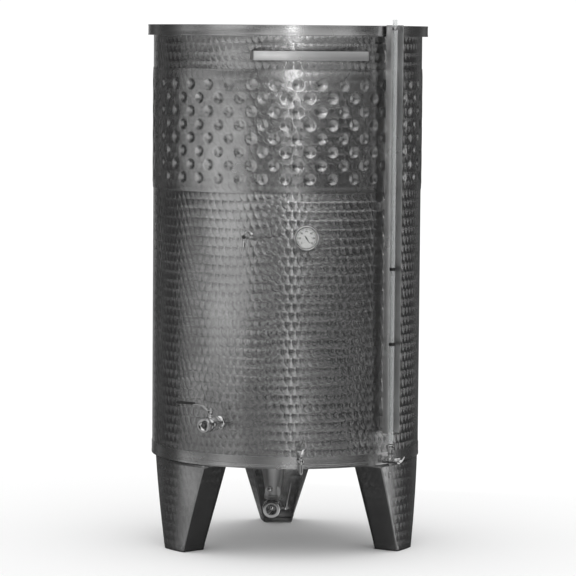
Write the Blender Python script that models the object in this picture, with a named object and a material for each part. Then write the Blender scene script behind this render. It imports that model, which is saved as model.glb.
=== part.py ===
"""Vertical storage tank: an open-topped steel shell on three folded legs, with its taps, valves and gauge.

Metres, +Z up. The origin is at the floor, in the middle of the space that the tank takes up with its taps.
The front, where the taps are, faces -Y. The shell's axis stands AXIS_Y behind the origin, and everything is
drawn about that axis and then moved back by AXIS_Y. An azimuth is in degrees from the front, positive to the
viewer's right.
"""

from math import cos, pi, radians, sin, sqrt

import bmesh
import bpy
from mathutils import Matrix, Vector

# Shell
AXIS_Y = 0.02415
RADIUS = 0.4775
WALL = 0.002
SHELL_LOW = 0.3190
RIM_TOP = 1.8439
SEGMENTS = 12
SEGMENT_FACETS = 12
GAP = 0.0003

# Rim band, jacket and base band
RIM_RADIUS = 0.4977
RIM_LOW = 1.8065
JACKET_LOW = 1.268
JACKET_HIGH = 1.692
JACKET_THICK = 0.0012
BASE_LOW = 0.3187
BASE_HIGH = 0.361
BASE_THICK = 0.0015
RING_FACETS = 144

# Legs
LEG_AZIMUTHS = {"leg_front_left": -55.2, "leg_front_right": 63.9, "leg_back": 183.6}
LEG_RADIUS = 0.4765
LEG_THICK = 0.003
LEG_TOP = 0.3184
LEG_HALF_LOW = 7.3
LEG_HALF_HIGH = 19.5
LEG_INNER_LOW = 0.385
LEG_INNER_HIGH = 0.344
LEG_STEPS = 8
FOOT_INNER = 0.377

# Bottom and sump
BOTTOM_HIGH = 0.350
BOTTOM_LOW = 0.300
DRAIN_X = -0.040
DRAIN_Y = -0.100
SUMP_RADIUS = 0.042


def clear_scene():
    for obj in list(bpy.data.objects):
        bpy.data.objects.remove(obj, do_unlink=True)


def material(name, colour, metallic, roughness, alpha=1.0):
    made = bpy.data.materials.new(name)
    made.use_nodes = True
    shader = made.node_tree.nodes["Principled BSDF"]
    shader.inputs["Base Color"].default_value = (*colour, 1.0)
    shader.inputs["Metallic"].default_value = metallic
    shader.inputs["Roughness"].default_value = roughness
    shader.inputs["Alpha"].default_value = alpha
    return made


def radial_frame(azimuth):
    """Local +X runs outwards from the shell's axis at this azimuth, +Y to the right and +Z up."""
    return Matrix.Rotation(radians(azimuth - 90.0), 4, "Z")


def axis_frame(origin, direction, side=(0.0, 0.0, 1.0)):
    """Local +Z runs along direction, from origin. Local +X is as near to side as it can be."""
    along = Vector(direction).normalized()
    across = Vector(side) - along * Vector(side).dot(along)
    if across.length < 1e-6:
        across = Vector((1.0, 0.0, 0.0)) - along * along.x
    across.normalize()
    up = along.cross(across)
    frame = Matrix((across, up, along)).transposed().to_4x4()
    frame.translation = Vector(origin)
    return frame


def solid(points, faces, frame=None):
    """A mesh from points and faces, turned to face outwards."""
    mesh = bpy.data.meshes.new("solid")
    mesh.from_pydata([Vector(point) for point in points], [], faces)
    if frame is not None:
        mesh.transform(frame)
    work = bmesh.new()
    work.from_mesh(mesh)
    bmesh.ops.recalc_face_normals(work, faces=work.faces)
    work.to_mesh(mesh)
    work.free()
    return mesh


def box(low, high, frame=None):
    points = [(x, y, z) for x in (low[0], high[0]) for y in (low[1], high[1]) for z in (low[2], high[2])]
    faces = [(0, 1, 3, 2), (4, 6, 7, 5), (0, 4, 5, 1), (2, 3, 7, 6), (0, 2, 6, 4), (1, 5, 7, 3)]
    return solid(points, faces, frame)


def prism(outline, low, high, frame=None):
    """The outline, in local X and Y, extruded along local Z."""
    count = len(outline)
    points = [(x, y, low) for x, y in outline] + [(x, y, high) for x, y in outline]
    faces = [tuple(range(count)), tuple(range(count, 2 * count))]
    for i in range(count):
        j = (i + 1) % count
        faces.append((i, j, count + j, count + i))
    return solid(points, faces, frame)


def turned(profile, facets=24, frame=None):
    """A solid of revolution about local Z. profile lists (radius, height) and may start or end on the axis."""
    points = []
    rows = []
    for radius, height in profile:
        if radius == 0.0:
            rows.append([len(points)] * facets)
            points.append((0.0, 0.0, height))
            continue
        rows.append(list(range(len(points), len(points) + facets)))
        for i in range(facets):
            angle = 2.0 * pi * i / facets
            points.append((radius * cos(angle), radius * sin(angle), height))
    if profile[0][0] != 0.0:
        rows.append(rows[0])
    faces = []
    for row, following in zip(rows, rows[1:]):
        for i in range(facets):
            j = (i + 1) % facets
            corners = [row[i], row[j], following[j], following[i]]
            face = list(dict.fromkeys(corners))
            if len(face) > 2:
                faces.append(tuple(face))
    return solid(points, faces, frame)


def cylinder(radius, low, high, facets=24, frame=None):
    return turned([(0.0, low), (radius, low), (radius, high), (0.0, high)], facets, frame)


def hexagon(across_flats, low, high, frame=None):
    corner = across_flats / sqrt(3.0)
    outline = [(corner * cos(pi * i / 3.0), corner * sin(pi * i / 3.0)) for i in range(6)]
    return prism(outline, low, high, frame)


def pipe(path, radius, facets=16):
    """A round bar swept along a path of points, with its bends mitred."""
    path = [Vector(point) for point in path]
    side = Vector((0.0, 0.0, 1.0)).cross(path[1] - path[0])
    if side.length < 1e-6:
        side = Vector((1.0, 0.0, 0.0))
    side.normalize()
    points = []
    for i, centre in enumerate(path):
        before = (centre - path[i - 1]).normalized() if i else (path[1] - centre).normalized()
        after = (path[i + 1] - centre).normalized() if i + 1 < len(path) else before
        along = (before + after).normalized()
        stretch = 1.0 / max(along.dot(before), 0.5)
        side = (side - along * side.dot(along)).normalized()
        turn = before.cross(after)
        up = along.cross(side)
        for k in range(facets):
            angle = 2.0 * pi * k / facets
            offset = side * (radius * cos(angle)) + up * (radius * sin(angle))
            if turn.length > 1e-6:
                across = along.cross(turn.normalized())
                offset += across * (offset.dot(across) * (stretch - 1.0))
            points.append(centre + offset)
    last = len(points) - facets
    faces = [tuple(range(facets)), tuple(range(last, last + facets))]
    for i in range(len(path) - 1):
        for k in range(facets):
            j = (k + 1) % facets
            faces.append((i * facets + k, i * facets + j, (i + 1) * facets + j, (i + 1) * facets + k))
    return solid(points, faces)


def combined(pieces, cuts=(), frame=None):
    """The union of the pieces less the cuts, as one mesh."""
    base = bpy.data.objects.new("base", pieces[0])
    bpy.context.scene.collection.objects.link(base)
    helpers = []
    operations = [("UNION", piece) for piece in pieces[1:]] + [("DIFFERENCE", cut) for cut in cuts]
    for operation, mesh in operations:
        helper = bpy.data.objects.new("helper", mesh)
        bpy.context.scene.collection.objects.link(helper)
        helpers.append(helper)
        boolean = base.modifiers.new("join", "BOOLEAN")
        boolean.operation = operation
        boolean.solver = "EXACT"
        boolean.object = helper
    bpy.context.view_layer.update()
    graph = bpy.context.evaluated_depsgraph_get()
    mesh = bpy.data.meshes.new_from_object(base.evaluated_get(graph))
    for helper in [base, *helpers]:
        bpy.data.objects.remove(helper, do_unlink=True)
    if frame is not None:
        mesh.transform(frame)
    return mesh


def node(name, mesh, paint, pivot=None):
    """One object of the part, moved back by AXIS_Y. A moving piece's origin is its pivot, given about the axis."""
    back = Vector((0.0, AXIS_Y, 0.0))
    if pivot is None:
        mesh.transform(Matrix.Translation(back))
    else:
        mesh.transform(Matrix.Translation(-Vector(pivot)))
    mesh.name = name
    mesh.materials.clear()
    mesh.materials.append(paint)
    for face in mesh.polygons:
        face.use_smooth = True
    mesh.set_sharp_from_angle(angle=radians(30.0))
    obj = bpy.data.objects.new(name, mesh)
    bpy.context.scene.collection.objects.link(obj)
    if pivot is not None:
        obj.location = Vector(pivot) + back
    return obj


def on_shell(radius, azimuth, height):
    angle = radians(azimuth)
    return (radius * sin(angle), -radius * cos(angle), height)


def wall_segment(first, last, steps, inner, outer, low, high):
    points = []
    for i in range(steps + 1):
        azimuth = first + (last - first) * i / steps
        for radius, height in ((inner, low), (outer, low), (outer, high), (inner, high)):
            points.append(on_shell(radius, azimuth, height))
    faces = [(0, 1, 2, 3), tuple(4 * steps + k for k in range(4))]
    for i in range(steps):
        for k in range(4):
            j = (k + 1) % 4
            faces.append((4 * i + k, 4 * i + j, 4 * i + 4 + j, 4 * i + 4 + k))
    return solid(points, faces)


def build_shell():
    span = 360.0 / SEGMENTS
    trim = GAP / 2.0 / RADIUS * 180.0 / pi
    for i in range(SEGMENTS):
        first = -span / 2.0 + span * i + trim
        last = first + span - 2.0 * trim
        wall = wall_segment(first, last, SEGMENT_FACETS, RADIUS - WALL, RADIUS, SHELL_LOW, RIM_TOP)
        node(f"shell_wall_{i + 1:02d}", wall, STEEL)


def build_bands():
    inner = RADIUS + GAP
    rim_inner = RIM_RADIUS - WALL
    rim = [
        (inner, RIM_LOW),
        (RIM_RADIUS - 0.0008, RIM_LOW),
        (RIM_RADIUS, RIM_LOW + 0.0008),
        (RIM_RADIUS, RIM_TOP - 0.002),
        (RIM_RADIUS - 0.002, RIM_TOP),
        (inner, RIM_TOP),
        (inner, RIM_TOP - WALL),
        (rim_inner, RIM_TOP - WALL),
        (rim_inner, RIM_LOW + WALL),
        (inner, RIM_LOW + WALL),
    ]
    node("rim_band", turned(rim, RING_FACETS), POLISHED)
    outer = inner + JACKET_THICK
    jacket = [
        (inner, JACKET_LOW),
        (inner + 0.0004, JACKET_LOW),
        (outer, JACKET_LOW + 0.006),
        (outer, JACKET_HIGH - 0.006),
        (inner + 0.0004, JACKET_HIGH),
        (inner, JACKET_HIGH),
    ]
    node("cooling_jacket", turned(jacket, RING_FACETS), STEEL)
    outer = inner + BASE_THICK
    band = [
        (inner, BASE_LOW),
        (outer, BASE_LOW),
        (outer, BASE_HIGH - 0.001),
        (outer - 0.001, BASE_HIGH),
        (inner, BASE_HIGH),
    ]
    node("base_band", turned(band, RING_FACETS), POLISHED)


def build_bottom():
    facets = 72
    outer = RADIUS - WALL - GAP
    rings = [
        (0.0, 0.0, outer, BOTTOM_HIGH - WALL),
        (0.0, 0.0, outer, BOTTOM_HIGH),
        (DRAIN_X, DRAIN_Y, SUMP_RADIUS - WALL, BOTTOM_LOW + WALL),
        (DRAIN_X, DRAIN_Y, SUMP_RADIUS - WALL, BOTTOM_LOW),
    ]
    points = []
    for x, y, radius, height in rings:
        for i in range(facets):
            angle = 2.0 * pi * i / facets
            points.append((x + radius * cos(angle), y + radius * sin(angle), height))
    faces = []
    for k in range(4):
        following = (k + 1) % 4
        for i in range(facets):
            j = (i + 1) % facets
            faces.append((k * facets + i, k * facets + j, following * facets + j, following * facets + i))
    node("tank_bottom", solid(points, faces), STEEL)


def leg_mesh(azimuth):
    """A folded channel: a web on the shell's curve, two radial flanges, and a foot plate across the bottom."""
    web = []
    rows = 5
    for row in range(rows):
        share = row / (rows - 1)
        height = LEG_TOP * share
        half = LEG_HALF_LOW + (LEG_HALF_HIGH - LEG_HALF_LOW) * share
        inner = LEG_INNER_LOW + (LEG_INNER_HIGH - LEG_INNER_LOW) * share
        flange = LEG_THICK / LEG_RADIUS * 180.0 / pi
        ring = [on_shell(inner, azimuth - half, height)]
        for i in range(LEG_STEPS + 1):
            ring.append(on_shell(LEG_RADIUS, azimuth - half + 2.0 * half * i / LEG_STEPS, height))
        ring.append(on_shell(inner, azimuth + half, height))
        slim = half - flange * LEG_RADIUS / inner
        ring.append(on_shell(inner, azimuth + slim, height))
        for i in range(LEG_STEPS + 1):
            part = half - flange - 2.0 * (half - flange) * i / LEG_STEPS
            ring.append(on_shell(LEG_RADIUS - LEG_THICK, azimuth + part, height))
        ring.append(on_shell(inner, azimuth - slim, height))
        web.append(ring)
    count = len(web[0])
    points = [point for ring in web for point in ring]
    turns = LEG_STEPS + 3
    faces = []
    for end in (0, rows - 1):
        start = end * count
        faces.append((start, start + 1, start + count - 2, start + count - 1))
        for i in range(LEG_STEPS):
            faces.append((start + 1 + i, start + 2 + i, start + count - 3 - i, start + count - 2 - i))
        faces.append((start + turns - 2, start + turns - 1, start + turns, start + turns + 1))
    for row in range(rows - 1):
        for k in range(count):
            j = (k + 1) % count
            low = row * count
            high = low + count
            faces.append((low + k, low + j, high + j, high + k))
    channel = solid(points, faces)
    half = LEG_HALF_LOW - 0.15
    plate = wall_segment(azimuth - half, azimuth + half, LEG_STEPS, FOOT_INNER, LEG_RADIUS - 0.0012, 0.0, LEG_THICK)
    return combined([channel, plate])


def build_legs():
    for name, azimuth in LEG_AZIMUTHS.items():
        node(name, leg_mesh(azimuth), STEEL)


def build_rail():
    frame = radial_frame(9.2)
    half = 0.2015
    thick = 0.004
    front = 0.4935
    inner = half - thick
    start = sqrt(RADIUS**2 - inner**2) + 0.0008
    outline = [
        (start, -half),
        (front - 0.004, -half),
        (front, -half + 0.004),
        (front, half - 0.004),
        (front - 0.004, half),
        (start, half),
        (start, inner),
        (front - thick, inner),
        (front - thick, -inner),
        (start, -inner),
    ]
    node("ladder_rail", prism(outline, 1.723, 1.755, frame), STEEL)


def build_thermometer():
    height = 1.118
    frame = axis_frame(on_shell(0.0, 0.0, height), on_shell(1.0, 7.6, 0.0))
    face = 0.5195
    socket = [(0.0, RADIUS + GAP), (0.013, RADIUS + GAP), (0.013, 0.486), (0.010, 0.488), (0.010, 0.4927), (0.0, 0.4927)]
    node("thermometer_socket", turned(socket, 20, frame), POLISHED)
    back = 0.4930
    case = [
        (0.0, back),
        (0.036, back),
        (0.0395, back + 0.003),
        (0.0395, face - 0.010),
        (0.042, face - 0.008),
        (0.042, face - 0.002),
        (0.0405, face),
        (0.0375, face),
        (0.0365, face - 0.005),
        (0.0, face - 0.005),
    ]
    node("thermometer_case", turned(case, 48, frame), POLISHED)
    low = face - 0.005 + GAP
    node("thermometer_dial", cylinder(0.0362, low, low + 0.0012, 48, frame), WHITE)


def build_sample_tap():
    azimuth = -15.2
    height = 1.1225
    frame = radial_frame(azimuth)
    along = frame @ axis_frame((0.0, 0.0, height), (1.0, 0.0, 0.0))
    down = frame @ axis_frame((0.5485, 0.0, height), (0.0, 0.0, -1.0))
    body = [
        turned([(0.0, RADIUS + GAP), (0.013, RADIUS + GAP), (0.013, 0.4815), (0.009, 0.484), (0.009, 0.500), (0.0, 0.500)], 20, along),
        hexagon(0.021, 0.488, 0.500, along),
        cylinder(0.0075, 0.495, 0.556, 20, along),
        cylinder(0.0055, 0.0, 0.0345, 16, down),
    ]
    bore = cylinder(0.0035, 0.006, 0.040, 16, down)
    node("sample_tap_body", combined(body, [bore]), POLISHED)
    low = height + 0.0081
    pivot = Vector(on_shell(0.522, azimuth, low))
    pin = cylinder(0.0065, 0.0, 0.009, 16, Matrix.Translation(pivot))
    swing = Matrix.Translation(pivot) @ Matrix.Rotation(radians(azimuth + 96.0), 4, "Z") @ Matrix.Rotation(radians(-16.0), 4, "Y")
    blade = box((-0.004, -0.0055, 0.003), (0.040, 0.0055, 0.006), swing)
    node("sample_tap_lever", combined([pin, blade]), POLISHED, pivot)


def build_partial_drain():
    azimuth = -28.5
    height = 0.472
    frame = radial_frame(azimuth)
    along = frame @ axis_frame((0.0, 0.0, height), (1.0, 0.0, 0.0))
    nipple = [
        (0.0, RADIUS + GAP),
        (0.023, RADIUS + GAP),
        (0.023, RADIUS + 0.003),
        (0.0165, RADIUS + 0.006),
        (0.0165, 0.5045),
        (0.0245, 0.5045),
        (0.0245, 0.5125),
        (0.0, 0.5125),
    ]
    node("partial_drain_nipple", turned(nipple, 32, along), POLISHED)
    top = frame @ axis_frame((0.5375, 0.0, height), (0.0, 0.0, 1.0))
    body = [
        turned([(0.0, 0.5128), (0.019, 0.5128), (0.0245, 0.520), (0.027, 0.530), (0.027, 0.545), (0.0245, 0.555), (0.019, 0.5635), (0.0, 0.5635)], 32, along),
        hexagon(0.044, 0.5165, 0.5275, along),
        cylinder(0.0115, 0.0, 0.0385, 20, top),
    ]
    node("partial_drain_valve", combined(body, [cylinder(0.0135, 0.553, 0.570, 24, along)]), POLISHED)
    ring = [(0.0135, 0.5638), (0.0205, 0.5638), (0.0255, 0.570), (0.0255, 0.5865), (0.0245, 0.588), (0.0135, 0.588)]
    node("partial_drain_outlet", turned(ring, 32, along), POLISHED)
    low = height + 0.0388
    pivot = Vector(on_shell(0.5375, azimuth, low))
    stem = cylinder(0.0065, 0.0, 0.0165, 16, Matrix.Translation(pivot))
    nut = hexagon(0.0165, 0.0, 0.0075, Matrix.Translation(pivot))
    side = Matrix.Translation(pivot) @ Matrix.Rotation(radians(azimuth + 180.0), 4, "Z")
    lever = [(-0.012, 0.008), (0.012, 0.008), (0.0365, 0.0245), (0.138, 0.0265), (0.138, 0.0295), (0.0355, 0.0275), (0.011, 0.011), (-0.012, 0.011)]
    blade = prism(lever, -0.008, 0.008, side @ Matrix.Rotation(radians(90.0), 4, "X"))
    node("partial_drain_lever", combined([stem, nut, blade]), STEEL, pivot)
    grip_low = 0.0245 + (0.0445 - 0.0365) * 0.0197 - GAP
    slope = Matrix.Rotation(-0.0197, 4, "Y")
    shape = side @ Matrix.Translation((0.0445, 0.0, grip_low + 0.0021)) @ slope
    sleeve = box((0.0, -0.0105, -0.0036), (0.0965, 0.0105, 0.0042), shape)
    hollow = box((-0.010, -0.0083, -0.0020), (0.0950, 0.0083, 0.0022), shape)
    node("partial_drain_grip", combined([sleeve], [hollow]), BLACK, pivot)


def build_base_tap():
    azimuth = 6.0
    height = 0.3525
    frame = radial_frame(azimuth)
    start = RADIUS + GAP + BASE_THICK + GAP
    along = frame @ axis_frame((0.0, 0.0, height), (1.0, 0.0, 0.0))
    down = frame @ axis_frame((0.5385, 0.0, height), (0.0, 0.0, -1.0))
    top = frame @ axis_frame((0.5385, 0.0, height), (0.0, 0.0, 1.0))
    body = [
        turned([(0.0, start), (0.0085, start), (0.0085, 0.5385), (0.0, 0.5385)], 20, along),
        hexagon(0.020, 0.489, 0.499, along),
        turned([(0.0, -0.0075), (0.0095, -0.0075), (0.0105, -0.003), (0.0105, 0.004), (0.008, 0.011), (0.0, 0.011)], 24, top),
        turned([(0.0, 0.004), (0.0055, 0.006), (0.0055, 0.038), (0.0062, 0.0445), (0.0, 0.0445)], 20, down),
    ]
    node("base_tap_body", combined(body, [cylinder(0.0038, 0.010, 0.050, 16, down)]), POLISHED)
    low = height + 0.0113
    pivot = Vector(on_shell(0.5385, azimuth, low))
    wing = [(-0.0045, 0.004), (0.0045, 0.004), (0.0155, 0.0275), (0.012, 0.0325), (0.0, 0.0305), (-0.012, 0.0325), (-0.0155, 0.0275)]
    stand = Matrix.Translation(pivot) @ Matrix.Rotation(radians(azimuth - 8.0), 4, "Z") @ Matrix.Rotation(radians(90.0), 4, "X")
    handle = [cylinder(0.0065, 0.0, 0.008, 16, Matrix.Translation(pivot)), prism(wing, -0.0022, 0.0022, stand)]
    node("base_tap_handle", combined(handle), POLISHED, pivot)


def build_drain():
    down = axis_frame((DRAIN_X, DRAIN_Y, 0.0), (0.0, 0.0, 1.0))
    top = BOTTOM_LOW - GAP
    sump = [
        (SUMP_RADIUS, top),
        (SUMP_RADIUS, 0.2745),
        (0.0300, 0.200),
        (0.0300, 0.1760),
        (0.0320, 0.1745),
        (0.0320, 0.1685),
        (0.0280, 0.1685),
        (0.0280, 0.200),
        (SUMP_RADIUS - WALL, 0.275),
        (SUMP_RADIUS - WALL, top),
    ]
    collar = [(SUMP_RADIUS - 0.001, 0.290), (0.0465, 0.290), (0.0465, top), (SUMP_RADIUS - 0.001, top)]
    node("drain_sump", combined([turned(sump, 36, down), turned(collar, 36, down)]), STEEL)
    toward = Vector((sin(radians(-4.0)), -cos(radians(-4.0)), 0.0))
    start = Vector((DRAIN_X, DRAIN_Y, 0.1680))
    bend = [start, start - Vector((0.0, 0.0, 0.008))]
    for angle in (22.5, 45.0, 67.5, 90.0):
        turn = radians(angle)
        bend.append(start + Vector((0.0, 0.0, -0.008)) + toward * (0.0265 * (1.0 - cos(turn))) - Vector((0.0, 0.0, 0.0265 * sin(turn))))
    bend.append(bend[-1] + toward * 0.006)
    elbow = [pipe(bend, 0.0280, 24), cylinder(0.0320, 0.1620, 0.1680, 36, down)]
    node("drain_elbow", combined(elbow), STEEL)
    along = axis_frame(bend[-1] + toward * GAP, toward)
    valve = [
        turned([(0.0, 0.0), (0.028, 0.0), (0.034, 0.007), (0.034, 0.033), (0.028, 0.0405), (0.0, 0.0405)], 36, along),
        cylinder(0.010, 0.0, 0.0435, 20, axis_frame(bend[-1] + toward * 0.020, (1.0, 0.0, 0.0))),
    ]
    node("drain_valve", combined(valve, [cylinder(0.0175, 0.028, 0.050, 28, along)]), POLISHED)
    ring = [(0.0175, 0.0408), (0.0285, 0.0408), (0.0285, 0.0480), (0.0308, 0.0500), (0.0308, 0.0580), (0.0175, 0.0580)]
    node("drain_outlet", turned(ring, 36, along), POLISHED)
    pivot = bend[-1] + toward * 0.020 + Vector((0.0438, 0.0, 0.0))
    out = axis_frame(pivot, (1.0, 0.0, 0.0))
    lean = Matrix.Translation(pivot) @ Matrix.Rotation(radians(-9.0), 4, "Y")
    handle = [
        cylinder(0.0065, 0.0, 0.014, 16, out),
        hexagon(0.0170, 0.0, 0.0065, out),
        box((0.0068, -0.010, -0.012), (0.0100, 0.010, 0.016), Matrix.Translation(pivot)),
        box((0.0078, -0.009, 0.010), (0.0110, 0.009, 0.094), lean),
    ]
    node("drain_lever", combined(handle), STEEL, pivot)


def build_gauge():
    azimuth = 45.0
    frame = radial_frame(azimuth)
    web = 0.5060
    depth = 0.027
    half = 0.0295
    thick = 0.0015
    channel = [
        (web, -half),
        (web + depth, -half),
        (web + depth, -half + thick),
        (web + thick, -half + thick),
        (web + thick, half - thick),
        (web + depth, half - thick),
        (web + depth, half),
        (web, half),
    ]
    guard = [prism(channel, 0.433, 1.846, frame)]
    for height in (0.743, 1.004):
        guard.append(box((web + 0.0005, -0.011, height - 0.004), (web + 0.0085, 0.011, height + 0.004), frame))
    tube_x = 0.5200
    tube = frame @ axis_frame((tube_x, 0.0, 0.0), (0.0, 0.0, 1.0))
    clearance = cylinder(0.0080 + GAP, 0.40, 1.90, 24, tube)
    node("gauge_guard", combined(guard, [clearance]), STEEL)
    pipe_wall = [(0.0080, 0.3955), (0.0080, 1.8650), (0.0062, 1.8650), (0.0062, 0.3955)]
    node("gauge_tube", turned(pipe_wall, 20, tube), CLEAR)
    lower = box((RADIUS + 0.0008, -0.012, 0.450), (web - GAP, 0.012, 0.490), frame)
    upper = box((RADIUS + 0.0008, -0.012, 1.210), (web - GAP, 0.012, 1.240), frame)
    hollows = [box((RADIUS - 0.01, -0.010, z0 + 0.002), (web - 0.002, 0.010, z1 - 0.002), frame) for z0, z1 in ((0.450, 0.490), (1.210, 1.240))]
    node("gauge_bracket_lower", combined([lower], [hollows[0]]), STEEL)
    node("gauge_bracket_upper", combined([upper], [hollows[1]]), STEEL)
    clip = [
        box((web + thick + GAP, -0.0275, 1.8290), (tube_x + 0.004, 0.0275, 1.8400), frame),
        cylinder(0.0115, 1.8290, 1.8400, 24, tube),
    ]
    node("gauge_clip", combined(clip, [cylinder(0.0080 + GAP, 1.80, 1.90, 24, tube)]), BLACK)
    nut = [(0.0, 0.3680), (0.0115, 0.3680), (0.0115, 0.3765), (0.0140, 0.3775), (0.0140, 0.3905), (0.0115, 0.3925), (0.0, 0.3925)]
    cavity = cylinder(0.0080 + GAP, 0.3880, 0.400, 24, tube)
    node("gauge_union_nut", combined([turned(nut, 24, tube)], [cavity]), POLISHED)
    height = 0.3385
    start = RADIUS + GAP + BASE_THICK + GAP
    along = frame @ axis_frame((0.0, 0.0, height), (1.0, 0.0, 0.0))
    body = [
        cylinder(0.0095, start, 0.560, 20, along),
        hexagon(0.026, 0.487, 0.498, along),
        turned([(0.0, 0.503), (0.0130, 0.503), (0.0130, 0.553), (0.0110, 0.5600), (0.0, 0.5600)], 24, along),
        cylinder(0.0090, height, 0.3677, 20, tube),
        cylinder(0.0042, 0.2850, height, 16, tube),
        turned([(0.0, 0.2755), (0.0058, 0.2755), (0.0066, 0.2930), (0.0042, 0.2960), (0.0, 0.2960)], 16, tube),
    ]
    node("gauge_valve_body", combined(body, [cylinder(0.0028, 0.270, 0.300, 12, tube)]), POLISHED)
    pivot = Vector(frame @ Vector((0.5603, 0.0, height)))
    out = axis_frame(pivot, frame.to_3x3() @ Vector((1.0, 0.0, 0.0)))
    knob = [cylinder(0.0060, 0.0, 0.0085, 16, out)]
    rise = frame.copy()
    rise.translation = pivot
    blade = [(0.0, -0.0045), (0.010, -0.0045), (0.0245, 0.010), (0.0245, 0.0145), (0.0205, 0.0145), (0.0085, 0.0045), (0.0, 0.0045)]
    tilt = rise @ Matrix.Rotation(radians(90.0), 4, "Y") @ Matrix.Rotation(radians(90.0), 4, "Z")
    knob.append(prism(blade, 0.0035, 0.0060, tilt))
    node("gauge_valve_handle", combined(knob), POLISHED, pivot)


clear_scene()
STEEL = material("stainless_sheet", (0.42, 0.42, 0.42), 1.0, 0.35)
POLISHED = material("polished_steel", (0.50, 0.50, 0.50), 1.0, 0.22)
WHITE = material("dial_white", (0.85, 0.85, 0.84), 0.0, 0.5)
BLACK = material("black_plastic", (0.03, 0.03, 0.03), 0.0, 0.5)
CLEAR = material("clear_tube", (0.80, 0.82, 0.82), 0.0, 0.1, 0.4)
build_shell()
build_bands()
build_bottom()
build_legs()
build_rail()
build_thermometer()
build_sample_tap()
build_partial_drain()
build_base_tap()
build_drain()
build_gauge()
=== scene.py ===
"""Looks for the vertical storage tank: marbled stainless sheet, a dimpled jacket, polished fittings."""

from math import cos, pi, radians, sin, sqrt

import bmesh
import bpy
from mathutils import Matrix, Vector


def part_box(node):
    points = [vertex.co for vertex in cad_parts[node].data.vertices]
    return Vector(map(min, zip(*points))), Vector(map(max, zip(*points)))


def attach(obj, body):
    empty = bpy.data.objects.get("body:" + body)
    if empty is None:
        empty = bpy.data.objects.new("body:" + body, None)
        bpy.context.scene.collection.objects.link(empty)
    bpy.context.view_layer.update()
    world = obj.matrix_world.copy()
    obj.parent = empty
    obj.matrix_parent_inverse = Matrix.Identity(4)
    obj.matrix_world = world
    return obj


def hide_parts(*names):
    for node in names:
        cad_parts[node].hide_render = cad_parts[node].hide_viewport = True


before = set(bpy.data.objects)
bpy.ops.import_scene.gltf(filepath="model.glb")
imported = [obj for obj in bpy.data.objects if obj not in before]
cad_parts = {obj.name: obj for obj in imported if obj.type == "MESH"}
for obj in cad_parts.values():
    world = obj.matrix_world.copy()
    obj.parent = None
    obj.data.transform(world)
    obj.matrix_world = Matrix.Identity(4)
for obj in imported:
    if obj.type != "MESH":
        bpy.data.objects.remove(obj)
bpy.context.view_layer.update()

# Driving sizes, read from the frame where it has them
shell_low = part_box("shell_wall_01")[0].z
rim_low, rim_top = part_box("rim_band")[0].z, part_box("rim_band")[1].z
RIM_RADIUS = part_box("rim_band")[1].x
AXIS = Vector((0.0, (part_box("rim_band")[0].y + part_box("rim_band")[1].y) / 2, 0.0))
SHELL_RADIUS = AXIS.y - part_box("shell_wall_01")[0].y
WALL = 0.002
FIT = 0.0003
jacket_low, jacket_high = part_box("cooling_jacket")[0].z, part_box("cooling_jacket")[1].z
base_low, base_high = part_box("base_band")[0].z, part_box("base_band")[1].z

# Marbled finish, in metres
SPOT_PITCH = 0.0267
SPOT_ROW = 0.03174
SPOT_RADIUS = 0.025
SPOT_START = 0.0277
SPOT_FIRST = 0.0062

# Jacket dimples
DIMPLE_COUNT = 37
DIMPLE_ROWS = 8
DIMPLE_TOP_ROW = 1.639
DIMPLE_ROW_PITCH = 0.0461
DIMPLE_RADIUS = 0.0205
DIMPLE_DEPTH = 0.0056
DIMPLE_FIRST = radians(-5.3)
JACKET_SKIN = 0.0012
JACKET_SWELL = 0.0010
JACKET_SINK = 0.0060

# Legs, repeated from the solids: metres and degrees
LEG_AZIMUTHS = {"leg_front_left": -55.2, "leg_front_right": 63.9, "leg_back": 183.6}
LEG_RADIUS = 0.4765
LEG_THICK = 0.003
LEG_HALF_LOW = 7.3
LEG_HALF_HIGH = 19.5
LEG_INNER_LOW = 0.385
LEG_INNER_HIGH = 0.344
FOOT_INNER = 0.377
FOOT_BAND_DEPTH = 0.0014
LEG_WEB_SHARE = 18 / 30
LEG_BEND_SHARE = 23 / 30

# Sleeve on the partial drain's lever, from its pivot
SLEEVE_START = 0.0660
SLEEVE_END = 0.1320

# Thermometer dial, in degrees
DIAL_TICKS = 60
DIAL_FIRST = 225.0
DIAL_SWEEP = 270.0

# Camera, from the lines of the photograph: metres, degrees, millimetres
CAMERA_PLACE = (0.0, -11.0940, 1.8035)
CAMERA_DOWN = 4.6236
CAMERA_YAW = 0.0343
CAMERA_ROLL = 0.4480
CAMERA_LENS = 194.17


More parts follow.
